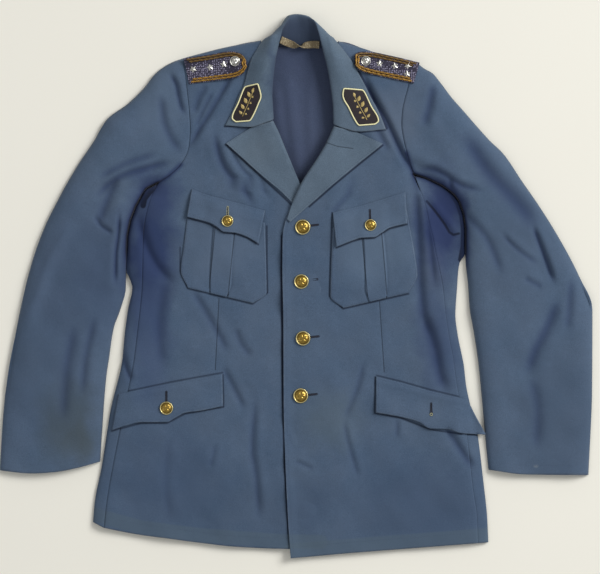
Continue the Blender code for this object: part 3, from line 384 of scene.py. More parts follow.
# Buttonholes: from x, y, to x, y, thread, whether it shows an eyelet at its end.
BUTTONHOLES = {
    "buttonhole_chest_right": ((-102, 118.5), (-102.3, 104), "pale_thread", False),
    "buttonhole_chest_left": ((110.5, 114), (111, 98.5), "navy_thread", False),
    "buttonhole_hip_right": ((-194, -158), (-194, -174), "navy_thread", False),
    "buttonhole_hip_left": ((202.5, -175.5), (202.5, -192), "navy_thread", True),
    "buttonhole_front_1": ((20, 90.5), (33, 92), "navy_thread", False),
    "buttonhole_front_2": ((18, 8.5), (32, 10.5), "navy_thread", False),
    "buttonhole_front_3": ((20, -76.5), (34, -75), "navy_thread", False),
    "buttonhole_front_4": ((17, -163), (31, -161.5), "navy_thread", False),
}
# Pressed edges of the pockets' pleats: from x, y, to x, y.
PLEAT_LINES = {
    "right": (((-121, 89), (-130, -3)), ((-92, 80), (-102, -15))),
    "left": (((99, 70), (107, -15)), ((128, 80), (136, -12))),
}
# Painted shadows: dark lines beside an edge that lies on the cloth, and painted shade in the gaps at the
# armpits: points x, y, half width, strength.
SHADOWS = {
    "front_right": (
        (((-9, -407), (-17, -265), (-20, -150), (-21.5, 26), (-21, 75), (-10, 97)), 1, 0.9),
        (((-105, 212), (-49.5, 161.5), (23, 94)), 0.5, 0.7),
        (((-107, 239), (-85, 239.5), (-65, 236.5)), 0.4, 0.8),
        (((-173.5, 58), (-173.5, 22), (-162, -4), (-65, -27), (-43, -10)), 0.3, 0.6),
        (((-43.8, 90), (-43.5, 40), (-42.8, -9)), 0.5, 0.7),
        (((-276, -217), (-231.5, -205), (-193, -205), (-166, -191), (-109, -181)), 0.5, 0.6),
        (((-108.5, -180), (-109.5, -133)), 0.5, 0.6),
        (((-264, -159.5), (-185, -142.8), (-110, -129.3)), 0.3, 0.6),
    ),
    "front_left": (
        (((130, 211), (97, 184.5), (57, 151.5), (20, 119)), 0.5, 0.8),
        (((134, 233.5), (113, 231.5), (93, 230)), 0.3, 0.6),
        (((135.5, 237), (124.5, 262), (112.5, 285), (103.5, 303), (94, 320)), 1.6, 0.75),
        (((54, 110), (51, 30), (50, -15), (70.5, -34), (168.5, -11.5)), 0.4, 0.7),
        (((121, -133.6), (156, -142), (202, -155), (252, -167)), 0.3, 0.6),
        (((118.5, -136), (118, -190), (156, -197), (201, -214.5), (248, -221.5)), 0.5, 0.7),
    ),
    "side": (
        (((196, 127), (206.5, 115), (215, 104), (223, 93), (230, 81), (236, 77), (244, 79)), 1, 0.85),
        (((234, 139), (243, 124), (249, 106), (251, 88), (251, 60), (247, 40)), 3.2, 0.9),
        (((-208, 151), (-219, 141), (-227, 131), (-229, 121)), 3.4, 0.92),
        (((-276, -217), (-250, -209)), 0.5, 0.6),
        (((240, -220), (277, -224)), 0.5, 0.7),
    ),
    "pocket_right": (
        (((-163, 102.5), (-129, 93), (-108, 80), (-91, 78.5), (-73.5, 72.5), (-56.5, 62.5)), 0.5, 0.75),
    ),
    "pocket_left": (
        (((60.5, 57.5), (84.5, 67), (98, 71), (117, 72), (140, 86), (166, 92.5)), 0.5, 0.75),
    ),
}
# A pressed line on the left lapel.
LAPEL_LINE = ((44, 215), (62, 209), (85, 206))
# Middle of the turned-up hems, which have faded more: x, y.
HEM_BANDS = (
    ((-302, -342), (-234, -361), (-144, -373), (-21, -382), (37, -383)),
    ((-8, -396), (66, -390), (156, -383), (286, -373)),
)
# Waist darts: from x, y, to x, y.
DARTS = {
    "right": ((-115.5, -18.5), (-121, -125.5)),
    "left": ((125, -23.5), (132, -128.5)),
}


# Curves and heights

def through(knots, values, at):
    """Smooth values through the knots, which never swing past a knot."""
    knots = np.asarray(knots, float)
    values = np.asarray(values, float).reshape(len(knots), -1)
    step = np.diff(knots)[:, None]
    slope = np.diff(values, axis=0) / step
    tangent = np.zeros_like(values)
    product = slope[:-1] * slope[1:]
    total = slope[:-1] + slope[1:]
    tangent[1:-1] = np.where(product > 0, 2 * product / np.where(total == 0, 1, total), 0)
    tangent[0] = slope[0]
    tangent[-1] = slope[-1]
    at = np.clip(np.asarray(at, float), knots[0], knots[-1])
    k = np.clip(np.searchsorted(knots, at, side="right") - 1, 0, len(knots) - 2)
    width = step[k, 0]
    t = ((at - knots[k]) / width)[:, None]
    h = width[:, None]
    return (
        values[k] * (1 + 2 * t) * (1 - t) ** 2
        + tangent[k] * h * t * (1 - t) ** 2
        + values[k + 1] * t**2 * (3 - 2 * t)
        + tangent[k + 1] * h * t**2 * (t - 1)
    )


def run_of(points):
    """How far along its own line each point is."""
    steps = np.linalg.norm(np.diff(np.asarray(points, float), axis=0), axis=1)
    return np.concatenate([[0], np.cumsum(steps)])


def lengths(points):
    """The same as a share of the line, from 0 to 1."""
    run = run_of(points)
    return run / run[-1]


def along(points, at):
    return through(lengths(points), points, at)


def soft_step(value, start, end):
    t = np.clip((value - start) / (end - start), 0, 1)
    return t * t * (3 - 2 * t)


def bell(value, width):
    """1 at 0, and smoothly down to 0 on both sides."""
    return np.exp(-((value / width) ** 2))


def unit(vectors):
    return vectors / np.linalg.norm(vectors, axis=-1, keepdims=True)


def xy(grid):
    return grid[..., 0], grid[..., 1]


def one_value(table, at):
    table = np.asarray(table, float)
    at = np.asarray(at, float)
    return through(table[:, 0], table[:, 1], at.ravel())[:, 0].reshape(at.shape)


def beside(x, y, line):
    """Signed distance in plan from each point to a line, plus to its left, and the share along the line."""
    line = np.asarray(line, float)
    start, run = line[:-1], np.diff(line, axis=0)
    size = np.linalg.norm(run, axis=1)
    before = np.concatenate([[0], np.cumsum(size)])
    point = np.stack([x, y], axis=-1)[..., None, :]
    share = np.clip(((point - start) * run).sum(-1) / size**2, 0, 1)
    off = point - start - share[..., None] * run
    apart = np.linalg.norm(off, axis=-1)
    nearest = apart.argmin(-1)[..., None]
    turn = np.sign(run[:, 0] * off[..., 1] - run[:, 1] * off[..., 0])
    reached = (before[:-1] + share * size) / before[-1]
    signed = np.take_along_axis(apart * turn, nearest, -1)[..., 0]
    return signed, np.take_along_axis(reached, nearest, -1)[..., 0]


def distance(x, y, line):
    return np.abs(beside(x, y, line)[0])


def folded_edges(side):
    table, sleeve = np.asarray(SIDES[side]), np.asarray(SLEEVES[side])
    return [
        np.vstack([table[:, 2:], sleeve[:1, :2]]),
        sleeve[:, :2],
        sleeve[:, 2:],
        np.asarray(SHOULDERS[side]),
    ]


EDGES = {side: folded_edges(side) for side in SIDES}


def edge_distance(x, y, side):
    return np.min([distance(x, y, line) for line in EDGES[side]], axis=0)


def roundness(near):
    """0 on a folded edge, 1 from EDGE_ROLL inwards, round between."""
    share = np.clip(near / EDGE_ROLL, 0, 1)
    return np.sqrt(1 - (1 - share) ** 2)


def neck_lift(x, y):
    return NECK_LIFT * soft_step(y, 296, 342) * soft_step(-np.abs(x - 5), -100, -60)


def fold_height(x, y, panel):
    height = np.zeros(np.shape(x))
    for name, x0, y0, x1, y1, half_width, rise in FOLDS:
        if name == panel:
            height += rise * bell(distance(x, y, ((x0, y0), (x1, y1))), half_width)
    return height


def creases_of(panel, x, y):
    """Each crease of a panel: half width, height, lift, the distance from it, and 1 but 0 at its ends."""
    for name, half_width, rise, lift, points in CREASES:
        if name == panel:
            off, share = beside(x, y, along(points, np.linspace(0, 1, 12)))
            taper = soft_step(share, 0, TAPER) * (1 - soft_step(share, 1 - TAPER, 1))
            yield half_width, rise, lift, off, taper


def crease_height(x, y, panel):
    """Soft troughs, each with the cloth lifted on its left, that run out at both ends."""
    height = np.zeros(np.shape(x))
    for half_width, rise, lift, off, taper in creases_of(panel, x, y):
        across = rise * bell(off, half_width)
        across += RIDGE * lift * bell(off - 1.9 * half_width, 1.6 * half_width)
        height += across * taper * CREASE_STRENGTH.get(panel, 1)
    return height


def depth(x, y, panel, side):
    """How far into a crease or the armpit a point lies, from 0 to 1, where the cloth is given a darker, unfaded
    colour and painted shade.
    """
    dye_and_shade = np.zeros(np.shape(x))
    for half_width, rise, _, off, taper in creases_of(panel, x, y):
        if rise < 0:
            dye_and_shade = np.maximum(dye_and_shade, CREASE_DYE_AND_SHADE * min(1, -rise / 5) * taper * bell(off, half_width))
    inner = np.asarray(SLEEVES[side])[:, :2]
    armpit = bell(distance(x, y, inner), 5) * soft_step(y, 5, 60)
    armhole = 0.75 * bell(distance(x, y, ARMHOLES[side][:3]), 4)
    return np.clip(np.maximum(dye_and_shade, np.maximum(armpit, armhole)), 0, 1)


def swell(x, y, shift):
    height = np.zeros(np.shape(x))
    for degrees, wavelength, rise, phase in SWELLS:
        angle = math.radians(degrees)
        run = x * math.cos(angle) + y * math.sin(angle)
        height += rise * np.sin(math.tau * run / wavelength + phase + shift)
    return height


def overlap_lift(x, y):
    """How far the wearer's left front is lifted by the right front and its lapel."""
    near = 1 - soft_step(x, 48, 92)
    below = 1 - soft_step(y, 168, 218)
    lapel = soft_step(y, 55, 86)
    return near * below * (CLOTH + GAP + 0.1 + lapel * (FACING + GAP))


def front_height(x, y, side):
    """Height of the middle of the front's cloth, with its creases and seams."""
    near = edge_distance(x, y, side)
    panel = "front_" + side
    loft = one_value(BODY_LOFT, y) + fold_height(x, y, panel)
    loft = loft + crease_height(x, y, panel) + swell(x, y, 0 if side == "right" else 1.7)
    height = CLOTH * 1.5 + GAP + neck_lift(x, y) + loft * roundness(near)
    height = height - EDGE_DIP * (1 - soft_step(near, 0, 4))
    for line in (np.asarray(SIDES[side])[:, :2], ARMHOLES[side]):
        height = height - SEAM_DIP * bell(distance(x, y, line), SEAM_WIDTH) * roundness(near)
    height = height - DART_DIP * bell(distance(x, y, DARTS[side]), SEAM_WIDTH)
    if side == "left":
        height = height + overlap_lift(x, y)
        free = distance(x, y, [(edge, level) for level, edge in FRONT_EDGES["left"]])
        height = height + EDGE_LIFT * (1 - soft_step(free, 0, 16)) * (1 - soft_step(y, 70, 96))
    return height


def over_front(x, y, side, wall):
    """Height of the middle of a piece that lies on the front."""
    return front_height(x, y, side) + CLOTH / 2 + GAP + wall / 2


def lapel_curl(y, side):
    """How round the lapel's fold is: flat at the break, full further up."""
    start = {"right": (160, 205), "left": (98, 150)}[side]
    return LAPEL_ROLL * soft_step(y, *start)


# Meshes

GRIDS = {}
WALLS = {}


def placed(name, data):
    thing = bpy.data.objects.new(name, data)
    bpy.context.scene.collection.objects.link(thing)
    return thing


def mesh_object(name, points, faces, material, smooth=True):
    """An object from points in millimetres, riding on the jacket's one body."""
    mesh = bpy.data.meshes.new(name)
    mesh.from_pydata((np.asarray(points, float) * MM).tolist(), [], faces)
    mesh.validate()
    mesh.polygons.foreach_set("use_smooth", [smooth] * len(mesh.polygons))
    thing = placed(name, mesh)
    mesh.materials.append(material)
    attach(thing, "root")
    return thing


def grid_faces(rows, columns, closed=False):
    r, c = np.meshgrid(np.arange(rows - 1), np.arange(columns if closed else columns - 1), indexing="ij")
    first = r * columns + c
    second = r * columns + (c + 1) % columns
    return np.stack([first, second, second + columns, first + columns], axis=-1).reshape(-1, 4).tolist()


def arc(grid, axis):
    """Distance along the grid's lines from their first point."""
    step = np.linalg.norm(np.diff(grid, axis=axis), axis=-1)
    start = np.zeros_like(np.take(step, [0], axis=axis))
    return np.cumsum(np.concatenate([start, step], axis=axis), axis=axis)


def away_from(grid, *edges):
    """Distance along the cloth from the nearest of the named edges."""
    down, over = arc(grid, 0), arc(grid, 1)
    away = {"foot": down, "head": down[-1:] - down, "left": over, "right": over[:, -1:] - over}
    return np.min([away[edge] for edge in edges], axis=0)


def edge_wear(grid, edges, reach=2.2):
    """1 on the named edges of a grid, 0 from reach inwards."""
    near = away_from(grid, *edges) if edges else np.full(grid.shape[:2], reach)
    return np.clip(1 - near / reach, 0, 1)


def set_value(thing, attribute, values):
    made = thing.data.attributes.new(attribute, "FLOAT", "POINT")
    made.data.foreach_set("value", np.asarray(values, float).ravel())


def sheet(name, grid, wall, material, worn=(), dye_and_shade=None):
    """A grid of rows and columns of points as one sheet of cloth, its wall half on each side."""
    rows, columns = grid.shape[:2]
    span = np.cross(grid[0, -1] - grid[0, 0], grid[-1, 0] - grid[0, 0])
    faces = grid_faces(rows, columns)
    if span[2] < 0:
        faces = [face[::-1] for face in faces]
    thing = mesh_object(name + "_cloth", grid.reshape(-1, 3), faces, material)
    set_value(thing, "wear", edge_wear(grid, worn))
    # Painted shade in creases and armpits, with their darker unfaded cloth.
    if dye_and_shade is not None:
        set_value(thing, "dye_and_shade", dye_and_shade)
    solid = thing.modifiers.new("wall", "SOLIDIFY")
    solid.thickness = wall * MM
    solid.offset = 0
    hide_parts(name)
    GRIDS[name] = grid
    WALLS[name] = wall
    return thing


def declare(name):
    """Works out the width and length along the piece's cloth, but keeps and states nothing."""
    grid = GRIDS[name] * MM
    width = float(arc(grid, 1)[:, -1].max())
    length = float(arc(grid, 0)[-1].max())


def plan_grid(sides, across, foot=None, head=None, foot_reach=2.0):
    """Rows of points between two long edges, bent to the foot and head lines."""
    sides = np.asarray(sides, float)
    across = np.asarray(across, float)
    left, right = sides[:, None, :2], sides[:, None, 2:4]
    share = across[None, :, None] if across.ndim == 1 else across[..., None]
    grid = left + (right - left) * share
    up = np.linspace(0, 1, len(sides))[:, None, None]
    if foot is not None:
        grid = grid + (along(foot, share[0, :, 0]) - grid[0]) * (1 - up) ** foot_reach
    if head is not None:
        grid = grid + (along(head, share[-1, :, 0]) - grid[-1]) * up**2
    return grid


def raised(grid, height):
    return np.concatenate([grid, height[..., None]], axis=-1)


def row_table(table, at):
    """Rows of a table at shares of its length along its middle."""
    table = np.asarray(table, float)
    middle = (table[:, :2] + table[:, 2:4]) / 2
    return through(lengths(middle), table, at)


def nudged(grid, gap):
    """The first row pulled back square to itself, from the piece it is sewn to."""
    grid = grid.copy()
    run = np.gradient(grid[0, :, :2], axis=0)
    square = unit(np.stack([-run[:, 1], run[:, 0]], axis=-1))
    away = np.sign(((grid[1] - grid[0])[:, :2] * square).sum())
    grid[0, :, :2] += square * away * gap
    return grid


def trees_of(objects):
    bpy.context.view_layer.update()
    graph = bpy.context.evaluated_depsgraph_get()
    return [BVHTree.FromObject(thing, graph) for thing in objects]


def top_at(x, y, trees):
    """The highest surface straight below a point, or None."""
    found = None
    for tree in trees:
        hit = tree.ray_cast(Vector((x, y, 200)) * MM, Vector((0, 0, -1)))[0]
        if hit is not None:
            found = max(found or 0, hit.z / MM)
    return found


def on_cloth(spots, trees, lift):
    """The spots laid on the cloth below them."""
    return np.array([(x, y, (top_at(x, y, trees) or NO_CLOTH) + lift) for x, y in spots])


def draped(grid, objects, lift, smooth=3):
    """The grid laid on other pieces, a little stiff."""
    trees = trees_of(objects)
    heights = np.array([top_at(x, y, trees) or np.nan for x, y in grid.reshape(-1, 2)])
    heights = heights.reshape(grid.shape[:2])
    heights = np.where(np.isnan(heights), np.nanmean(heights), heights)
    for _ in range(smooth):
        padded = np.pad(heights, 1, mode="edge")
        around = (padded[:-2, 1:-1] + padded[2:, 1:-1] + padded[1:-1, :-2] + padded[1:-1, 2:]) / 4
        heights = np.maximum(heights, around)
    return raised(grid, heights + lift)


def inset_path(grid, edge, inset):
    """Points a fixed distance in from one edge of a grid, its ends as far from the corners."""
    lines = {
        "foot": grid,
        "head": grid[::-1],
        "left": grid.swapaxes(0, 1),
        "right": grid[:, ::-1].swapaxes(0, 1),
    }[edge]
    reached = arc(lines, 0)
    columns = range(lines.shape[1])
    path = np.array([[np.interp(inset, reached[:, c], lines[:, c, k]) for k in range(3)] for c in columns])
    run = run_of(path)
    return path[(run >= inset) & (run <= run[-1] - inset)]


def resampled(path, pitch):
    path = np.asarray(path, float)
    run = run_of(path)
    at = np.arange(0, run[-1], pitch)
    return np.stack([np.interp(at, run, path[:, k]) for k in range(3)], axis=-1)


def smoothed(path, rounds, closed=False):
    path = path.copy()
    for _ in range(rounds):
        if closed:
            path = (np.roll(path, 1, 0) + path * 2 + np.roll(path, -1, 0)) / 4
        else:
            path[1:-1] = (path[:-2] + path[1:-1] * 2 + path[2:]) / 4
    return path


def settled(height, rounds):
    """Heights smoothed inside their border, as cloth bridges what is under it."""
    for _ in range(rounds):
        around = height[:-2, 1:-1] + height[2:, 1:-1] + height[1:-1, :-2] + height[1:-1, 2:]
        height[1:-1, 1:-1] = around / 4
    return height


STITCH_PITCH = 3.4
STITCH_RADIUS = 0.27


def stitches(name, runs, material):
    """Rows of short stitches, each a slim spindle lying along its run of points: (points, lift)."""
    points, faces = [], []
    for path, lift in runs:
        if len(path) < 2:
            continue
        path = resampled(path, STITCH_PITCH)
        for first, second in zip(path[:-1], path[1:]):
            run = second - first
            start, end = first + run * 0.12, second - run * 0.16
            side = np.cross((0, 0, 1), run)
            side *= STITCH_RADIUS / np.linalg.norm(side)
            up = np.array((0, 0, STITCH_RADIUS))
            middle = (start + end) / 2
            base = len(points)
            ring = [middle + side, middle + up, middle - side, middle - up]
            points += [p + (0, 0, lift) for p in (start, *ring, end)]
            for k in range(4):
                following = (k + 1) % 4
                faces.append((base, base + 1 + following, base + 1 + k))
                faces.append((base + 5, base + 1 + k, base + 1 + following))
    return mesh_object(name, points, faces, material)


def tube(name, path, radius, material, closed=False, sides=8, twist=0, lobes=0, depth=0):
    """A round cord along a path. With lobes it is a twisted cord: twist is turns per millimetre."""
    path = np.asarray(path, float)
    count = len(path)
    run = unit((np.roll(path, -1, 0) - np.roll(path, 1, 0)) if closed else np.gradient(path, axis=0))
    level = unit(np.cross((0, 0, 1), run))
    upright = np.cross(run, level)
    angle = np.linspace(0, math.tau, sides, endpoint=False)
    swing = angle[None] * lobes + math.tau * twist * run_of(path)[:, None]
    reach = radius * (1 - depth * (0.5 + 0.5 * np.cos(swing)) if lobes else np.ones((count, sides)))
    ring = path[:, None] + level[:, None] * (reach * np.cos(angle))[..., None]
    ring = ring + upright[:, None] * (reach * np.sin(angle))[..., None]
    faces = grid_faces(count, sides, closed=True)
    last = (count - 1) * sides
    if closed:
        for k in range(sides):
            following = (k + 1) % sides
            faces.append([last + k, last + following, following, k])
    else:
        faces.append(list(range(sides))[::-1])
        faces.append(list(range(last, last + sides)))
    return mesh_object(name, ring.reshape(-1, 3), faces, material)


# Materials

def linear(colour):
    """Linear values of a colour given as 0 to 255."""
    return [((c / 255 + 0.055) / 1.055) ** 2.4 if c > 10 else c / 255 / 12.92 for c in colour]


def rgba(colour):
    return (*linear(colour), 1)


def times(colour, factor):
    return [c * factor for c in colour]


def add(tree, kind, *values, out=0, **settings):
    """A shader node with its settings and inputs, given as values or as other nodes' outputs."""
    made = tree.nodes.new("ShaderNode" + kind)
    for key, value in settings.items():
        setattr(made, key, value)
    for socket, value in zip(made.inputs, values):
        if isinstance(value, bpy.types.NodeSocket):
            tree.links.new(value, socket)
        elif value is not None:
            socket.default_value = value
    return made.outputs[out]


def maths(tree, operation, a, b=0.0, clamp=False):
    return add(tree, "Math", a, b, operation=operation, use_clamp=clamp)


def mix(tree, share, first, second):
    return add(tree, "Mix", share, None, None, None, None, None, first, second, out=2, data_type="RGBA")


def attribute(tree, name):
    return add(tree, "Attribute", attribute_name=name, out="Fac")


def ramp(tree, value, low, high):
    """0 where the value is low, 1 where it is high."""
    return add(tree, "MapRange", value, low, high, 0.0, 1.0)


def noise(tree, spot, scale, detail=2.0, out="Fac"):
    return add(tree, "TexNoise", spot, None, scale, detail, out=out)


def paint(tree, tone, share, strength, colour):
    """The tone with a colour over it where the share is high."""
    return mix(tree, maths(tree, "MULTIPLY", share, strength), tone, rgba(colour))


def surface(tree, shader, tone, height, strength, distance, **values):
    """Colour, bump and plain values on the shader. The bump's distance is in millimetres."""
    tree.links.new(tone, shader.inputs["Base Color"])
    bump = tree.nodes.new("ShaderNodeBump")
    bump.inputs["Strength"].default_value = strength
    bump.inputs["Distance"].default_value = distance * MM
    tree.links.new(height, bump.inputs["Height"])
    tree.links.new(bump.outputs[0], shader.inputs["Normal"])
    for name, value in values.items():
        shader.inputs[name.replace("_", " ")].default_value = value


def line_mask(tree, plan, points, half_width, soft):
    """1 along a line drawn on the cloth, 0 away from it. Points are in millimetres."""
    mask = None
    for start, end in zip(points[:-1], points[1:]):
        start, end = np.array((*start, 0)) * MM, np.array((*end, 0)) * MM
        run = end - start
        to = add(tree, "VectorMath", plan, tuple(start), operation="SUBTRACT")
        share = add(tree, "VectorMath", to, tuple(run / (run @ run)), operation="DOT_PRODUCT", out=1)
        share = maths(tree, "ADD", share, 0.0, clamp=True)
        near = add(tree, "VectorMath", tuple(run), None, None, share, operation="SCALE")
        apart = add(tree, "VectorMath", to, near, operation="DISTANCE", out=1)
        part = ramp(tree, apart, (half_width + soft) * MM, half_width * MM)
        mask = part if mask is None else maths(tree, "MAXIMUM", mask, part)
    return mask


def new_material(name):
    material = bpy.data.materials.new(name)
    material.use_nodes = True
    tree = material.node_tree
    return material, tree, tree.nodes["Principled BSDF"]


# Painted shade: the darker tone in creases and armpits, which is also unfaded cloth.
UNFADED_AND_SHADE = (40, 53, 88)
# Near-black of painted shadows beside edges and of painted shade in the gaps at the armpits.
PAINTED_SHADE = (20, 26, 44)
HEM_TONE = (80, 96, 110)
WORN = (124, 136, 152)
PALE_WORN = (138, 148, 160)
WOBBLE = 25         # how far a stain's edge wanders
# Stains, faded places, and darker patches round the armpits that are unfaded cloth with painted shade in their
# folds: centre x, y, radius x, radius y, colour, strength.
STAINS_AND_SHADE = (
    (-342, -205, 46, 62, (64, 74, 78), 0.55),
    (-318, -240, 26, 30, (72, 80, 78), 0.35),
    (50, -200, 52, 46, (86, 100, 108), 0.35),
    (202, 26, 18, 34, (84, 88, 98), 0.3),
    (360, -264, 4, 3, (120, 130, 140), 0.6),
    (-60, 205, 30, 26, (100, 114, 126), 0.25),
    (20, -330, 30, 40, (62, 80, 108), 0.3),
    (-150, -300, 60, 60, (66, 84, 110), 0.25),
    (-222, 55, 42, 110, (42, 56, 92), 0.92),
    (-222, -75, 34, 105, (58, 73, 106), 0.55),
    (-201, 136, 32, 30, (50, 63, 98), 0.8),
    (223, 116, 28, 36, (36, 47, 82), 0.9),
    (-200, -290, 90, 90, (60, 77, 103), 0.5),
    (216, 92, 40, 78, (42, 54, 90), 0.95),
    (224, -100, 30, 60, (56, 72, 102), 0.6),
    (-36, 318, 9, 52, (58, 72, 96), 0.6),
    (203, -50, 26, 80, (56, 70, 100), 0.5),
    (215, -330, 90, 70, (62, 79, 105), 0.4),
    (-285, 20, 40, 90, (60, 76, 104), 0.4),
    (110, 60, 52, 60, (92, 110, 132), 0.6),
    (-108, 55, 50, 60, (88, 104, 126), 0.5),
    (150, 250, 46, 52, (92, 104, 122), 0.5),
    (-205, 275, 36, 60, (90, 106, 126), 0.35),
    (-60, -330, 120, 60, (64, 80, 102), 0.4),
    (160, -330, 120, 80, (62, 79, 104), 0.45),
    (400, -190, 70, 110, (64, 79, 100), 0.5),
    (-400, -120, 60, 100, (64, 80, 103), 0.45),
    (-335, 10, 70, 130, (62, 78, 104), 0.45),
    (335, 80, 70, 90, (68, 84, 106), 0.4),
)


def cloth(name, colour, second, worn=WORN, lines=(), shadows=(), bands=(), with_stains_and_shade=True, inner=None):
    """Woven uniform twill: fine ribs, mottled fading, worn edges, pressed lines and stains."""
    material, tree, shader = new_material(name)
    spot = add(tree, "TexCoord", out="Object")
    plan = add(tree, "VectorMath", spot, (1, 1, 0), operation="MULTIPLY")
    cloud = ramp(tree, noise(tree, spot, 22.0, 4.0), 0.34, 0.66)
    tone = mix(tree, cloud, rgba(colour), rgba(second))
    tone = paint(tree, tone, ramp(tree, noise(tree, spot, 6.0, 1.0), 0.35, 0.65), 0.16, (104, 116, 130))
    rubbed = ramp(tree, noise(tree, spot, 75.0, 4.0), 0.5, 0.72)
    tone = paint(tree, tone, rubbed, 0.3, times(colour, 1.16))
    fibre = noise(tree, spot, 900.0)
    yarns = mix(tree, ramp(tree, fibre, 0.3, 0.7), rgba(times(colour, 0.84)), rgba(times(colour, 1.13)))
    tone = mix(tree, 0.5, tone, yarns)
    if with_stains_and_shade:
        shift = noise(tree, spot, 28.0, 3.0, out="Color")
        reach = WOBBLE * 2 * MM
        wobble = add(tree, "VectorMath", shift, (reach, reach, 0), plan, operation="MULTIPLY_ADD")
        # Stains and patches, with painted shade in the folds round the armpits.
        for x, y, wide, long, tint, strength in STAINS_AND_SHADE:
            middle = ((x + WOBBLE) * MM, (y + WOBBLE) * MM, 0)
            size = (1 / (wide * MM), 1 / (long * MM), 0)
            shifted = add(tree, "VectorMath", wobble, middle, operation="SUBTRACT")
            scaled = add(tree, "VectorMath", shifted, size, operation="MULTIPLY")
            apart = add(tree, "VectorMath", scaled, operation="LENGTH", out=1)
            tone = paint(tree, tone, ramp(tree, apart, 1.3, 0.4), strength, tint)
    rubbed = ramp(tree, noise(tree, spot, 90.0), 0.35, 0.7)
    wear = maths(tree, "MULTIPLY", attribute(tree, "wear"), rubbed)
    tone = paint(tree, tone, wear, 0.32, worn)
    # Painted shade on the inside of the collar's stand, with its darker, less faded cloth.
    if inner:
        tone = paint(tree, tone, attribute(tree, "inner"), 0.85, inner)
    ribs = add(tree, "TexWave", spot, 330.0, 0.6, 1.0, 1.0, bands_direction="DIAGONAL", out="Fac")
    height = maths(tree, "ADD", maths(tree, "MULTIPLY", ribs, 0.5), maths(tree, "MULTIPLY", fibre, 0.8))
    height = maths(tree, "ADD", height, maths(tree, "MULTIPLY", noise(tree, spot, 48.0, 4.0), 5.0))
    for points in lines:
        mask = line_mask(tree, plan, points, 0.35, 0.7)
        tone = paint(tree, tone, mask, 0.6, times(colour, 0.38))
        height = maths(tree, "SUBTRACT", height, maths(tree, "MULTIPLY", mask, 2.5))
    # Painted shadows beside edges that lie on the cloth, and painted shade in the gaps at the armpits.
    for points, half_width, strength in shadows:
        tone = paint(tree, tone, line_mask(tree, plan, points, half_width, 1.7), strength, PAINTED_SHADE)
    for points in bands:
        tone = paint(tree, tone, line_mask(tree, plan, points, 9.0, 3.0), 0.5, HEM_TONE)
    # Painted shade in creases and at the armpits, with the darker unfaded cloth there, near-black where it is
    # fullest.
    dye_and_shade = attribute(tree, "dye_and_shade")
    tone = mix(tree, ramp(tree, dye_and_shade, 0.0, 0.8), tone, rgba(UNFADED_AND_SHADE))
    tone = mix(tree, ramp(tree, dye_and_shade, 0.62, 0.95), tone, rgba(PAINTED_SHADE))
    rough = add(tree, "MapRange", fibre, 0.2, 0.8, 0.96, 0.82)
    tree.links.new(rough, shader.inputs["Roughness"])
    sheen = {"Sheen_Weight": 0.08, "Sheen_Roughness": 0.5, "Specular_IOR_Level": 0.15}
    surface(tree, shader, tone, height, 0.5, 0.3, **sheen)
    return material


def metal(name, colour, dark, rim_highlight, roughness):
    """Polished metal, dulled and darker in its hollows, with a painted highlight on its rim."""
    material, tree, shader = new_material(name)
    spot = add(tree, "TexCoord", out="Object")
    grime = ramp(tree, noise(tree, spot, 500.0, 3.0), 0.42, 0.62)
    tone = paint(tree, rgba(colour), grime, 0.5, dark)
    tone = mix(tree, attribute(tree, "hollow"), tone, rgba(dark))
    # Painted highlight on the rim.
    tone = mix(tree, attribute(tree, "rim"), tone, rgba(rim_highlight))
    rough = add(tree, "MapRange", grime, 0.0, 1.0, roughness, roughness + 0.2)
    tree.links.new(rough, shader.inputs["Roughness"])
    surface(tree, shader, tone, noise(tree, spot, 900.0), 0.2, 0.2, Metallic=1.0)
    return material


def yarn(name, colour, dark, scale=1500.0, speckle=None, shine=0.0, roughness=0.8, dull=None):
    """Thread, braid, felt or knit: fine fibres, darker between them, with beads of lighter thread if given."""
    material, tree, shader = new_material(name)
    spot = add(tree, "TexCoord", out="Object")
    fibre = noise(tree, spot, scale)
    tone = mix(tree, ramp(tree, fibre, 0.35, 0.65), rgba(dark), rgba(colour))
    if speckle:
        bead = add(tree, "TexVoronoi", spot, out="Distance")
        bead.node.inputs["Scale"].default_value = 360.0
        bead.node.inputs["Randomness"].default_value = 0.45
        tone = paint(tree, tone, ramp(tree, bead, 0.42, 0.2), 0.8, speckle)
    if dull:
        tone = paint(tree, tone, attribute(tree, "dull"), 0.8, dull)
    surface(tree, shader, tone, fibre, 0.5, 0.3, Metallic=shine, Roughness=roughness)
    return material


# The navy cloth and the paler lapels and collar, each with its cooler patches.
NAVY = (77, 94, 117), (64, 85, 111)
SLEEVE_NAVY = (78, 95, 118), (70, 90, 114)
LIGHT_NAVY = (88, 104, 121), (80, 98, 116)
INSIDE_NAVY = (66, 76, 102), (60, 72, 98)
CLOTHS = {
    "plain": cloth("serge", *NAVY),
    "side": cloth("serge_side", *NAVY, shadows=SHADOWS["side"], bands=HEM_BANDS),
    "sleeve": cloth("serge_sleeve", *SLEEVE_NAVY),
    "lapel": cloth("serge_lapel", *LIGHT_NAVY, worn=PALE_WORN, lines=[LAPEL_LINE]),
    "collar": cloth("serge_collar", *LIGHT_NAVY, worn=PALE_WORN, inner=(48, 58, 80)),
    "inside": cloth("serge_inside", *INSIDE_NAVY, with_stains_and_shade=False),
}
for side in SIDES:
    for kind, lines, bands in (("front_", [DARTS[side]], HEM_BANDS), ("pocket_", PLEAT_LINES[side], ())):
        name = kind + side
        CLOTHS[name] = cloth("serge_" + name, *NAVY, lines=lines, shadows=SHADOWS[name], bands=bands)
BRASS = metal("brass", (176, 148, 76), (84, 66, 28), (246, 236, 176), 0.3)
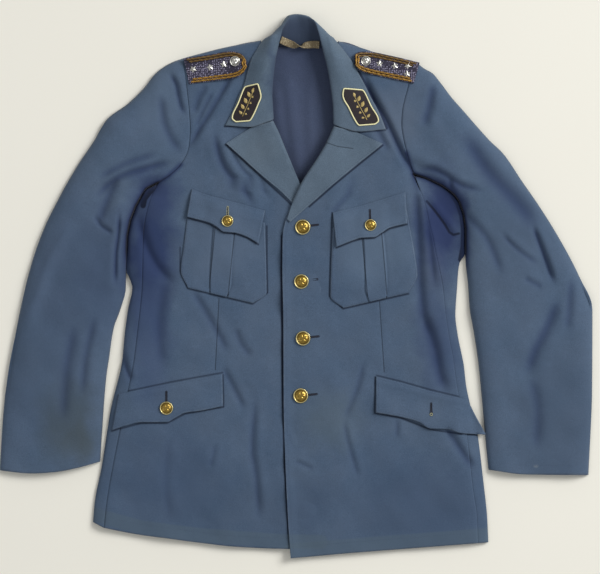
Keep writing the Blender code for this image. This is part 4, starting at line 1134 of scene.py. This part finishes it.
SILVER = metal("silver", (224, 224, 218), (84, 82, 78), (240, 240, 232), 0.2)
GOLD_BRAID = yarn(
    "gold_braid", (192, 146, 58), (70, 50, 22), 900.0, shine=0.35, roughness=0.45, dull=(96, 76, 44),
)
GOLD_THREAD = yarn("gold_thread", (214, 194, 128), (136, 112, 60), 2200.0, shine=0.25, roughness=0.5)
FELT = yarn("felt", (42, 32, 38), (22, 16, 22), 1200.0)
CREAM = yarn("cream_piping", (255, 252, 206), (222, 214, 158), roughness=0.7)
KNIT = yarn("board_knit", (46, 42, 66), (24, 22, 40), 900.0, speckle=(158, 154, 182))
TAPE = yarn("tape", (150, 136, 108), (104, 90, 66), speckle=(190, 178, 148))
NAVY_THREAD = yarn("navy_thread", (70, 86, 110), (40, 52, 76), 1800.0)
DARK_THREAD = yarn("dark_thread", (34, 40, 58), (16, 20, 34), 1800.0)
PALE_THREAD = yarn("pale_thread", (190, 190, 156), (120, 122, 96), 1800.0)


# Body

BODY_AT = np.linspace(0, 0.975, 196)
ARMHOLE_AT = np.linspace(0, 1, 90)


def front(side):
    table, armhole, edge = np.asarray(SIDES[side]), ARMHOLES[side], np.asarray(FRONT_EDGES[side])
    low = through(lengths(table[:, :2]), table, BODY_AT)
    outer = np.vstack([low[:, :2], along(armhole, ARMHOLE_AT)])
    foot, top = edge[0, 0], edge[-1, 0]
    level = np.interp(
        outer[:, 1],
        (outer[0, 1], -20, outer[len(low), 1], outer[-1, 1]),
        (foot, -25, 168, top),
    )
    inner = np.stack([one_value(edge, level), level], axis=-1)
    width = np.linalg.norm(outer - inner, axis=1)[:, None]
    fold = np.array((0, 0.15, 0.3, 0.6, 1)) * LAPEL_ROLL
    flat = np.linspace(0, 1, 106)[1:]
    start = LAPEL_ROLL / width
    across = np.concatenate([fold / width, start + (1 - start) * flat], axis=1)
    grid = plan_grid(np.hstack([inner, outer]), across, foot=HEMS[side], foot_reach=4)
    up = soft_step(np.linspace(0, 1, len(inner)), 0.8, 1)[:, None, None]
    grid = grid + (along(np.asarray(SHOULDERS[side])[::-1], across[-1]) - grid[-1]) * up
    height = front_height(*xy(grid), side)
    gorge = {"right": 254, "left": 246}[side]
    curl = lapel_curl(level, side) * (1 - soft_step(level, gorge - 18, gorge))
    height[:, :5] += curl[:, None] * 0.6 * (1 - fold / LAPEL_ROLL) ** 4
    name = "front_" + side
    dye_and_shade = depth(*xy(grid), name, side)
    return sheet(name, raised(grid, height), CLOTH, CLOTHS[name], worn=("left", "foot"), dye_and_shade=dye_and_shade)


def reached_out(grid, across, reach, start, end=150):
    """The grid's last columns drawn out below the armpit, so that no floor shows between side and sleeve."""
    out = unit(grid[:, -1:] - grid[:, :1])
    level = grid[:, -1:, 1]
    share = soft_step(level, start, start + 16) * (1 - soft_step(level, end, end + 8)) * across**6
    return grid + out * reach * share[..., None]


def side_panel(side):
    table = np.asarray(SIDES[side])
    rows = through(lengths(table[:, :2]), table, np.linspace(0, 1, 206))
    across = np.linspace(0, 1, 15)
    grid = plan_grid(rows, across)
    share = np.linspace(0, 1, len(grid))[:, None, None] ** 30
    grid = grid + (along(SIDE_TOPS[side], across) - grid[-1]) * share
    edge = grid[:, -1]
    reach = np.clip(distance(edge[:, 0], edge[:, 1], np.asarray(SLEEVES[side])[:, :2]) - 0.45, 0, 4.5)
    grid = reached_out(grid, across, reach[:, None, None], SIDE_MEETS[side])
    height = front_height(*xy(grid), side)
    if side == "left":
        low = CLOTH * 1.5 + GAP
        fallen = low + (height[:, :1] - low) * (1 - across) ** 4
        fallen = fallen + crease_height(*xy(grid), "side_left") * (1 - across**6)
        share = soft_step(grid[..., 1], -10, 60)
        height = height * (1 - share) + fallen * share
    grid = nudged(raised(grid, height).swapaxes(0, 1), 0.12).swapaxes(0, 1)
    dye_and_shade = depth(*xy(grid), "front_" + side, side)
    return sheet("side_" + side, grid, CLOTH, CLOTHS["side"], worn=("foot",), dye_and_shade=dye_and_shade)


def back():
    lines = []
    for side in SIDES:
        table = np.asarray(SIDES[side])
        low = through(lengths(table[:, 2:]), table[:, 2:], BODY_AT[::2])
        lines.append(np.vstack([low, along(ARMHOLES[side], ARMHOLE_AT[::2])]))
    across = np.linspace(0, 1, 91)
    grid = plan_grid(np.hstack(lines), across, foot=BACK_HEM, foot_reach=4)
    up = soft_step(np.linspace(0, 1, len(grid)), 0.6, 1)[:, None, None]
    grid = grid + (along(BACK_NECK, across) - grid[-1]) * up
    height = CLOTH / 2 + neck_lift(*xy(grid)) + crease_height(*xy(grid), "back")
    return sheet("back", raised(grid, height), CLOTH, CLOTHS["inside"], worn=("foot",))


# Sleeves

def pucker_height(x, y, side):
    height = np.zeros(np.shape(x))
    line = np.asarray(ARMHOLES[side])
    for share, size, rise in PUCKERS[side]:
        start, ahead = along(line, (share, share + 0.01))
        run = unit(ahead - start)
        out = np.array((-run[1], run[0])) * (1 if side == "right" else -1)
        off, at = beside(x, y, (start, start + out * size))
        height += rise * bell(off, 5) * (1 - soft_step(at, 0.3, 1)) * soft_step(at, -0.01, 0.12)
    return height


def sleeve(side, which):
    top = which == "top_sleeve_"
    at = np.linspace(0, 1, 190 if top else 100)
    across = np.linspace(0, 1, 66 if top else 34)
    grid = plan_grid(row_table(SLEEVES[side], at), across)
    reach = 5 + 30 * (1 - across) ** 4
    weight = ((1 - at)[:, None] ** reach)[..., None]
    grid = grid + (along(ARMHOLES[side], across) - grid[0]) * weight
    grid = grid + (along(CUFFS[side], across) - grid[-1]) * at[:, None, None] ** 3
    x, y = xy(grid)
    panel = "sleeve_" + side
    dye_and_shade = depth(x, y, panel, side)
    if not top:
        reach = np.clip(distance(x[:, 0], y[:, 0], np.asarray(SIDES[side])[:, 2:]) - 0.3, 0, 2.2)
        grid = reached_out(grid[:, ::-1], across, reach[:, None, None], SIDE_MEETS[side], end=168)[:, ::-1]
        grid = nudged(raised(grid, np.full(x.shape, CLOTH / 2)), 0.2)
        return sheet(which + side, grid, CLOTH, CLOTHS["sleeve"], worn=("head",), dye_and_shade=dye_and_shade)
    near = edge_distance(x, y, side)
    loft = one_value(SLEEVE_LOFT, at)[:, None] + fold_height(x, y, panel)
    loft = loft + swell(x, y, 3.1 if side == "right" else 4.4)
    armhole = distance(x, y, ARMHOLES[side])
    loft = loft + pucker_height(x, y, side)
    loft = loft + 1.4 * bell(armhole - 9, 6) * soft_step(near, 0, 25)
    start = front_height(x[:1], y[:1], side) - CLOTH * 1.5 - GAP
    share = soft_step(at, 0, 0.1)[:, None]
    height = CLOTH * 1.5 + GAP + start * (1 - share) + loft * roundness(near) * share
    height = height - EDGE_DIP * (1 - soft_step(near, 0, 4)) * share
    height = height + crease_height(x, y, panel) * roundness(near) * soft_step(armhole, 0, 9)
    height = height - 0.5 * bell(armhole, 2.4)
    grid = nudged(raised(grid, height), 0.2)
    return sheet(which + side, grid, CLOTH, CLOTHS["sleeve"], worn=("head",), dye_and_shade=dye_and_shade)


# Lapels and collar

def lapel(side):
    table = np.asarray(LAPELS[side])
    notch = table[-2] + (table[-1] - table[-2]) * np.linspace(0, 1, 19)[1:, None]
    rows = np.vstack([row_table(table[:-1], np.linspace(0, 1, 90)), notch])
    width = np.linalg.norm(rows[:, 2:] - rows[:, :2], axis=1)
    round_part = np.minimum(LAPEL_ROLL, width * 0.3)
    steps = np.array((0, 0.15, 0.3, 0.5, 0.75, 1))
    fold = round_part[:, None] * steps / width[:, None]
    fall_at = np.linspace(0, 1, 61)[1:]
    grid = plan_grid(rows, np.concatenate([fold, fold[:, 5:] + (1 - fold[:, 5:]) * fall_at], axis=1))
    low = front_height(*xy(grid), side)
    rest = CLOTH / 2 + GAP + FACING / 2 + 0.3
    curl = lapel_curl(rows[:, 1], side)[:, None]
    start = curl + 0.15 + (rest - 0.15) * (1 - curl / LAPEL_ROLL)
    crest = np.maximum(2 * curl, rest + 0.05)
    over = one_value(((0, 0), (0.3, 0.71), (1, 1)), steps)
    fall = one_value(((0, 0), (0.2, 0.12), (0.42, 0.38), (0.64, 0.68), (0.84, 0.9), (1, 1)), fall_at)
    rise = np.concatenate([start + (crest - start) * over, crest + (rest - crest) * fall], axis=1)
    rise[:, 6:] += LAPEL_LIFT * soft_step(fall_at, 0.45, 1) * soft_step(width, 15, 60)[:, None]
    rise[:, 6:] += 0.35 * swell(*xy(grid[:, 6:] * 1.3), 0.6) * soft_step(width, 15, 50)[:, None]
    low[:, :6] = low[:, 5:6]
    for _ in range(6):
        low[:, 1:-1] = (low[:, :-2] + low[:, 1:-1] * 2 + low[:, 2:]) / 4
    return sheet("lapel_" + side, raised(grid, low + rise), FACING, CLOTHS["lapel"], worn=("right", "head"))


def collar():
    """Sections from the neckline over the stand's crest to the fall's edge."""
    table = np.asarray(COLLAR, float)
    rows = through(lengths(table[:, 2:4]), table, np.linspace(0, 1, 270))
    down = np.linspace(0, 1, 26) ** 1.15
    grid = []
    for row in rows:
        x, y = row[:2]
        side = "right" if x < 5 else "left"
        end = table[0 if side == "right" else -1, 2:4]
        near = max(0, 1 - np.linalg.norm(row[2:4] - end) / NOTCH_REACH) ** 2
        dip = one_value(NOTCH_DIP[side], down) * near
        away = soft_step(abs(x - 5), 40, 58)
        at_front = float(front_height(row[0], row[1], side))
        low = (CLOTH / 2 + neck_lift(x, y)) * (1 - away) + at_front * away
        row = np.insert(row, 2, low + CLOTH / 2 + GAP + FACING / 2 + 0.4)
        row[[5, 8]] += neck_lift(x, y) * away
        edge_low = float(over_front(row[9], row[10], side, FACING)) + 0.5
        row[11] = row[11] * (1 - away) + max(row[11], edge_low) * away
        points = row.reshape(4, 3)
        knots = lengths(points)
        at = np.concatenate([
            np.linspace(0, knots[1], 10)[:-1],
            np.linspace(knots[1], knots[2], 9)[:-1],
            knots[2] + (1 - knots[2]) * down,
        ])
        section = through(knots, points, at)
        turn, edge = points[2, 2], points[3, 2]
        share = np.clip((section[17:, 2] - edge) / (turn - edge), 0, 1)
        under = 1 - soft_step(edge, 1, 4)
        section[17:, 2] = edge + (turn - edge) * (share * (1 - under) + share**3 * under)
        section[17:, 1] += dip
        section[9:17, 1] += dip[0] * np.linspace(0, 1, 9)[:-1]
        grid.append(section)
    thing = sheet("collar", np.array(grid), FACING, CLOTHS["collar"], worn=("right", "foot", "head"))
    # Painted shade on the inside of the stand, under the collar's roll, with its darker, less faded cloth.
    inner = 1 - soft_step(np.arange(len(grid[0])), 5, 14)
    set_value(thing, "inner", np.tile(inner, len(grid)))
    return thing


# Pockets and flaps

def pleat_height(share, side):
    start, end = PLEATS[side]
    return soft_step(share, start - 0.008, start + 0.002) * (1 - soft_step(share, end - 0.002, end + 0.008))


def pocket(side):
    start, end = PLEATS[side]
    fine = np.array((-0.012, -0.008, -0.005, -0.002, 0.001, 0.004, 0.008, 0.012))
    across = np.unique(np.concatenate([
        np.linspace(0, start - 0.014, 22),
        start + fine,
        np.linspace(start + 0.016, end - 0.016, 14),
        end - fine,
        np.linspace(end + 0.014, 1, 22),
    ]).round(5))
    rows = row_table(POCKETS[side], np.linspace(0, 1, 70))
    grid = plan_grid(rows, across)
    border = away_from(grid, "left", "right", "foot")
    height = settled(over_front(*xy(grid), side, POCKET) + 0.35, 10)
    height = height + 1.3 * soft_step(border, 0, 26) - 0.3 * (1 - soft_step(border, 0, 2.5))
    height = height + 0.3 * swell(*xy(grid * 1.2), 2.2 if side == "right" else 0.3) * soft_step(border, 0, 20)
    height = height + PLEAT * pleat_height(across, side)
    for pleat_edge in (start - 0.016, end + 0.016):
        height = height - 0.8 * bell(across - pleat_edge, 0.012)
    name = "chest_pocket_" + side
    return sheet(name, raised(grid, height), POCKET, CLOTHS["pocket_" + side], worn=("left", "right", "foot"))


def flap(name):
    head, foot = FLAPS[name]
    kind, side = name.split("_flap_")
    across = np.linspace(0, 1, 90)
    down = np.linspace(0, 1, 34)[:, None, None]
    foot_line = through(lengths(foot), foot, across)
    grid = foot_line + (along(head, across) - foot_line) * down
    height = settled(over_front(*xy(grid), side, FLAP), 14)
    from_head = away_from(grid, "head")
    stack = 0.55
    if kind == "chest":
        stack += POCKET + GAP + 1.5
        start, end = PLEATS[side]
        rise, fall = soft_step(across, start - 0.15, start), soft_step(across, end, end + 0.15)
        stack = stack + PLEAT * rise * (1 - fall)
    height = height + stack * soft_step(from_head, 1, 18)
    height = height + FLAP_LIFT * soft_step(from_head, 18, 50)
    height = height + 0.9 * bell(from_head - 7, 5)
    height = height - 0.35 * (1 - soft_step(away_from(grid, "left", "right", "foot"), 0, 2.2))
    height = height + 0.25 * swell(*xy(grid * 1.4), len(name))
    return sheet(name, raised(grid, height), FLAP, CLOTHS["plain"], worn=("left", "right", "foot"))


# Boards, patches, buttons and stars

def fitted_height(grid, node):
    """Heights of a smooth bent sheet that best fits the top of the node's solid."""
    tree = trees_of([bpy.data.objects[node]])
    x, y = grid[..., 0].ravel(), grid[..., 1].ravel()
    heights = np.array([top_at(a, b, tree) or np.nan for a, b in zip(x, y)])
    known = ~np.isnan(heights)
    u, v = (x - x.mean()) / 60, (y - y.mean()) / 20
    terms = np.stack([np.ones_like(u), u, v, u * v, u**2, v**2, u**3], axis=-1)
    fit = np.linalg.lstsq(terms[known], heights[known], rcond=None)[0]
    return (terms @ fit).reshape(grid.shape[:2])


def board(side):
    name = "shoulder_board_" + side
    table = np.asarray(BOARDS[side])
    rows = through(lengths(table[:, :2]), table, np.linspace(0, 1, 86))
    across = np.linspace(0, 1, 34)
    grid = plan_grid(rows, across)
    top = fitted_height(grid, name)
    ribs = 0.28 * np.cos(math.tau * across * 12) * soft_step(np.minimum(across, 1 - across), 0.1, 0.16)
    height = top - BOARD_WALL / 2 + ribs
    thing = sheet(name, raised(grid, height), BOARD_WALL, KNIT)
    for label, radii_in in (("inner", 3.1), ("outer", 1)):
        inset = 1 + radii_in * BRAID
        foot, end, head = (inset_path(raised(grid, top), edge, inset) for edge in ("left", "head", "right"))
        loop = smoothed(resampled(np.vstack([foot, end, head[::-1]]), 0.9), 6)
        loop[:, 2] += BRAID * 0.55
        label = name + "_braid_" + label
        cord = tube(label, loop, BRAID, GOLD_BRAID, sides=12, twist=0.13, lobes=2, depth=0.42)
        set_value(cord, "dull", np.repeat(np.arange(len(loop)) > len(loop) * 0.53, 12))
    return thing


def spot_on(grid, up, across):
    """The point of a grid at shares of its rows and columns."""
    r, c = up * (grid.shape[0] - 1), across * (grid.shape[1] - 1)
    i, j = int(min(r, grid.shape[0] - 2)), int(min(c, grid.shape[1] - 2))
    a, b = r - i, c - j
    return (
        grid[i, j] * (1 - a) * (1 - b)
        + grid[i + 1, j] * a * (1 - b)
        + grid[i, j + 1] * (1 - a) * b
        + grid[i + 1, j + 1] * a * b
    )


def leaf(name, place, direction, size):
    """A slim padded leaf with a vein, worked in thread."""
    shares = np.linspace(0, 1, 9)
    half = size * 0.28 * np.sin(math.pi * shares ** 0.8)
    run = np.array((math.cos(direction), math.sin(direction), 0))
    side = np.array((-run[1], run[0], 0))
    points = []
    for share, reach in zip(shares, half):
        for across in (-1, -0.5, 0, 0.5, 1):
            rise = 0.75 * (1 - across**2) - (0.25 if across == 0 else 0)
            points.append(place + run * size * share + side * reach * across + np.array((0, 0, rise)))
    mesh_object(name, points, grid_faces(9, 5), GOLD_THREAD)


def patch(side, collar_piece):
    name = "collar_patch_" + side
    rows = row_table(PATCHES[side], np.linspace(0, 1, 36))
    flat = plan_grid(rows, np.linspace(0, 1, 26))
    grid = draped(flat, [collar_piece], GAP + PATCH_WALL / 2, smooth=2)
    sheet(name, grid, PATCH_WALL, FELT)
    around = np.vstack([grid[0], grid[1:, -1], grid[-1, ::-1][1:], grid[::-1, 0][1:-1]])
    loop = smoothed(resampled(np.vstack([around, around[:1]]), 1.1), 2, closed=True)
    loop[:, 2] += 0.45
    tube(name + "_piping", loop, PIPING, CREAM, closed=True, sides=10, twist=0.5, lobes=2, depth=0.12)
    up = spot_on(grid, 0.9, 0.5) - spot_on(grid, 0.1, 0.5)
    lean = math.atan2(up[1], up[0]) - math.pi / 2
    lifted = np.array((0, 0, PATCH_WALL / 2 + 0.05))
    over = lifted + np.array((0, 0, 0.2))
    stem = [spot_on(grid, share, 0.5) + over for share in np.linspace(0.13, 0.82, 24)]
    tube(name + "_stem", stem, 0.55, GOLD_THREAD, twist=0.8, lobes=2, depth=0.2)
    for number, (across, share, turn, size) in enumerate(LEAVES):
        middle = spot_on(grid, share, 0.5) * 0.6 + spot_on(grid, share, across) * 0.4
        turn = turn if side == "right" else 180 - turn
        leaf("%s_leaf_%d" % (name, number + 1), middle + lifted, lean + math.radians(turn), size)


BUTTON_PROFILE = (
    (0.0, 0.34), (0.2, 0.335), (0.4, 0.305), (0.55, 0.26), (0.66, 0.2), (0.74, 0.13), (0.8, 0.12),
    (0.84, 0.16), (0.89, 0.21), (0.94, 0.205), (0.98, 0.15), (1.0, 0.08), (0.97, 0.02), (0.9, 0.0),
)


def button(name, on, material):
    """A domed button with a beaded rim and a plain rosette on its dome."""
    x, y, diameter = BUTTONS[name]
    radius = diameter / 2
    trees = trees_of(on)
    reach, angles = 0.8 * radius, np.arange(8) * math.tau / 8
    ring = [(x + reach * math.cos(a), y + reach * math.sin(a)) for a in angles]
    seat = max(top_at(a, b, trees) or 0 for a, b in [(x, y), *ring]) + 0.2
    steps = 56
    out, up = along(BUTTON_PROFILE, np.linspace(0, 1, 34)).T[..., None]
    angle = math.tau * np.arange(steps) / steps
    petal = 0.028 * np.cos(6 * angle) * bell(out - 0.36, 0.16)
    bead = 0.012 * np.cos(28 * angle) * bell(out - 0.9, 0.05)
    plan = (x + radius * out * np.cos(angle), y + radius * out * np.sin(angle))
    points = np.stack([*plan, seat + radius * (up + petal + bead)], axis=-1)
    faces = grid_faces(len(out), steps, closed=True)
    bottom = (len(out) - 1) * steps
    faces.append(list(range(bottom, bottom + steps)))
    thing = mesh_object(name + "_metal", points.reshape(-1, 3), [face[::-1] for face in faces], material)
    set_value(thing, "hollow", np.minimum(1, 0.8 * bell(out - 0.76, 0.07) + np.maximum(0, -petal * 14)))
    # Painted highlight on the rim's bead.
    set_value(thing, "rim", np.broadcast_to(0.85 * bell(out - 0.92, 0.07), petal.shape))
    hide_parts(name)


def star(name, on):
    x, y, turn = STARS[name]
    seat = (top_at(x, y, trees_of(on)) or NO_CLOTH) + 0.15
    rim = []
    for point in range(10):
        radius = STAR_RADIUS * (1 if point % 2 == 0 else 0.5)
        angle = math.radians(90 + turn + 36 * point)
        rim.append((x + radius * math.cos(angle), y + radius * math.sin(angle)))
    points = [(a, b, seat) for a, b in rim] + [(a, b, seat + 0.7) for a, b in rim]
    points += [(x, y, seat), (x, y, seat + 2.3)]
    faces = []
    for i in range(10):
        j = (i + 1) % 10
        faces += [(i, j, 10 + j, 10 + i), (j, i, 20), (10 + i, 10 + j, 21)]
    thing = mesh_object(name + "_metal", points, faces, SILVER, smooth=False)
    bevel = thing.modifiers.new("edges", "BEVEL")
    bevel.width = 0.18 * MM
    bevel.segments = 2
    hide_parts(name)


def buttonhole(name, on):
    """A worked slit: thread round it, dark inside, and an eyelet where one shows."""
    start, end, thread, eyelet = BUTTONHOLES[name]
    start, end = np.array(start), np.array(end)
    run = unit(end - start)
    side = np.array((-run[1], run[0]))
    trees = trees_of(on)
    loop = []
    for angle in np.linspace(0, math.tau, 40, endpoint=False):
        ahead, beside_it = math.cos(angle), math.sin(angle)
        half = 2.3 if eyelet and ahead >= 0 else 1.25
        spot = (start if ahead < 0 else end) + (run * ahead + side * beside_it) * half
        if abs(ahead) < 0.16:
            spot = (start + end) / 2 + side * beside_it * 1.25
        loop.append(spot)
    loop = on_cloth(loop, trees, 0.18)
    path = resampled(np.vstack([loop, loop[:1]]), 0.7)
    thread = {"navy_thread": DARK_THREAD, "pale_thread": PALE_THREAD}[thread]
    tube(name, path, 0.5, thread, closed=True, twist=0.9, lobes=2, depth=0.35)
    slit = []
    for share in np.linspace(0, 1, 12):
        half = 1.8 if eyelet and share > 0.9 else 0.9
        slit += [start + (end - start) * share + side * across for across in (-half, 0, half)]
    slit = on_cloth(slit, trees, 0.12)
    faces = grid_faces(12, 3)
    if np.cross(slit[2] - slit[0], slit[-3] - slit[0])[2] < 0:
        faces = [face[::-1] for face in faces]
    mesh_object(name + "_slit", slit, faces, DARK_THREAD)
    if eyelet:
        around = np.linspace(0, math.tau, 28, endpoint=False)
        ring = [end + 1.9 * np.array((math.cos(a), math.sin(a))) for a in around]
        tube(name + "_eyelet", on_cloth(ring, trees, 0.35), 0.55, PALE_THREAD, closed=True)


def hanger_loop(on):
    rows = np.asarray(LOOP, float)
    rows = through(lengths(rows[:, :2]), rows, np.linspace(0, 1, 90))
    trees = trees_of(on)
    steps = np.array((0, 1, -1, 0.5, -0.5)) * LOOP_WIDTH / 2
    seats = np.array([max(top_at(x, y + step, trees) or 0 for step in steps) for x, y in rows[:, :2]])
    seats = np.convolve(np.pad(seats, 6, mode="edge"), np.ones(13) / 13, mode="valid")
    centre = np.column_stack([rows[:, :2], seats + 0.7 + LOOP_WALL / 2 + rows[:, 2]])
    run = np.gradient(centre, axis=0)
    grid = []
    for point, step, turn in zip(centre, run, np.radians(rows[:, 3])):
        level = unit(np.cross((0, 0, 1), step))
        upright = unit(np.cross(step, level))
        half = (level * math.cos(turn) + upright * math.sin(turn)) * LOOP_WIDTH / 2
        grid.append([point + half * across for across in np.linspace(-1, 1, 9)])
    return sheet("hanger_loop", np.array(grid), LOOP_WALL, TAPE)


back_piece = back()
fronts = {side: front(side) for side in SIDES}
for side in SIDES:
    side_panel(side)
for which in ("top_sleeve_", "under_sleeve_"):
    for side in SIDES:
        sleeve(side, which)
lapels = {side: lapel(side) for side in SIDES}
on_front = [fronts["left"], lapels["left"]]
collar_piece = collar()
for side in SIDES:
    pocket(side)
flaps = {name: flap(name) for name in FLAPS}
hanger_loop([back_piece, collar_piece])
boards = {side: board(side) for side in SIDES}
for side in SIDES:
    patch(side, collar_piece)

for name in BUTTONS:
    kind, _, label = name.partition("_button_")
    if kind == "board":
        button(name, [boards[label]], SILVER)
    else:
        button(name, on_front if kind == "front" else [flaps[kind + "_flap_" + label]], BRASS)
for name in STARS:
    star(name, [boards[name.split("_")[1]]])
for name in BUTTONHOLES:
    _, kind, label = name.split("_")
    buttonhole(name, on_front if kind == "front" else [flaps[kind + "_flap_" + label]])

# Rows of stitches: the pieces that they hold, the edges they follow, how far in.
STITCHED = (
    (("lapel_right", "lapel_left"), ("right", "head"), 4),
    (("chest_pocket_right", "chest_pocket_left"), ("left", "foot", "right"), 2.6),
    (FLAPS, ("left", "foot", "right"), 3.6),
    (FLAPS, ("head",), 3),
    (("front_left",), ("left",), 5),
    (("front_right", "front_left"), ("foot",), 16),
    (("top_sleeve_right", "top_sleeve_left"), ("head",), 14),
    (("collar",), ("right", "foot", "head"), 4),
)
COLLAR_HIDDEN = 40  # points of the collar's end stitching that its stand hides
stitching = {}
for names, edges, inset in STITCHED:
    for name in names:
        for edge in edges:
            path = inset_path(GRIDS[name], edge, inset)
            if name == "collar" and edge in ("foot", "head"):
                path = path[COLLAR_HIDDEN:]
            stitching.setdefault(name, []).append((path, WALLS[name] / 2 - 0.02))
threads = {name: stitches(name + "_stitches", runs, NAVY_THREAD) for name, runs in stitching.items()}

SLOTS = {"hanger_loop": "tape", "collar_patch": "patch_felt", "shoulder_board": "board_knit"}
for name in GRIDS:
    kinds = [slot for start, slot in SLOTS.items() if name.startswith(start)]
    kinds[0] if kinds else "navy_cloth"
    declare(name)


# Floor, lights and camera

FLOOR_REACH = 3.0   # metres
CAMERA_HEIGHT = 7.0
SEEN_WIDTH = 0.9    # metres across the picture on the floor
SENSOR = 36
# Lights: name, place, power, size, colour.
LIGHTS = (
    ("key", (4.8, 2.7, 4.2), 385, 3.2, (1.0, 0.99, 0.97)),
    ("fill", (-2.6, -1.0, 3.4), 16, 3.0, (0.97, 0.98, 1.0)),
)


def floor():
    mesh = bpy.data.meshes.new("floor")
    at = np.linspace(-FLOOR_REACH, FLOOR_REACH, 12)
    mesh.from_pydata([(x, y, -0.0004) for y in at for x in at], [], grid_faces(len(at), len(at)))
    material, tree, shader = new_material("pale_floor")
    spot = add(tree, "TexCoord", out="Object")
    tone = mix(tree, noise(tree, spot, 1.5), (0.85, 0.835, 0.76, 1), (0.9, 0.885, 0.81, 1))
    tree.links.new(tone, shader.inputs["Base Color"])
    shader.inputs["Roughness"].default_value = 0.85
    mesh.materials.append(material)
    placed("floor", mesh)


floor()
for name, place, power, size, colour in LIGHTS:
    lamp = bpy.data.lights.new(name, "AREA")
    lamp.energy = power
    lamp.size = size
    lamp.color = colour
    thing = placed(name, lamp)
    thing.location = place
    thing.rotation_euler = (-Vector(place)).to_track_quat("-Z", "Y").to_euler()

world = bpy.data.worlds.new("studio")
bpy.context.scene.world = world
world.use_nodes = True
sky = world.node_tree.nodes["Background"]
sky.inputs["Color"].default_value = (1.0, 0.995, 0.98, 1)
sky.inputs["Strength"].default_value = 0.42

lens = bpy.data.cameras.new("camera")
lens.sensor_width = SENSOR
lens.lens = SENSOR * CAMERA_HEIGHT / SEEN_WIDTH
camera = placed("camera", lens)
camera.location = (0.006, -0.0012, CAMERA_HEIGHT)
bpy.context.scene.camera = camera
bpy.context.scene.view_settings.view_transform = "Standard"
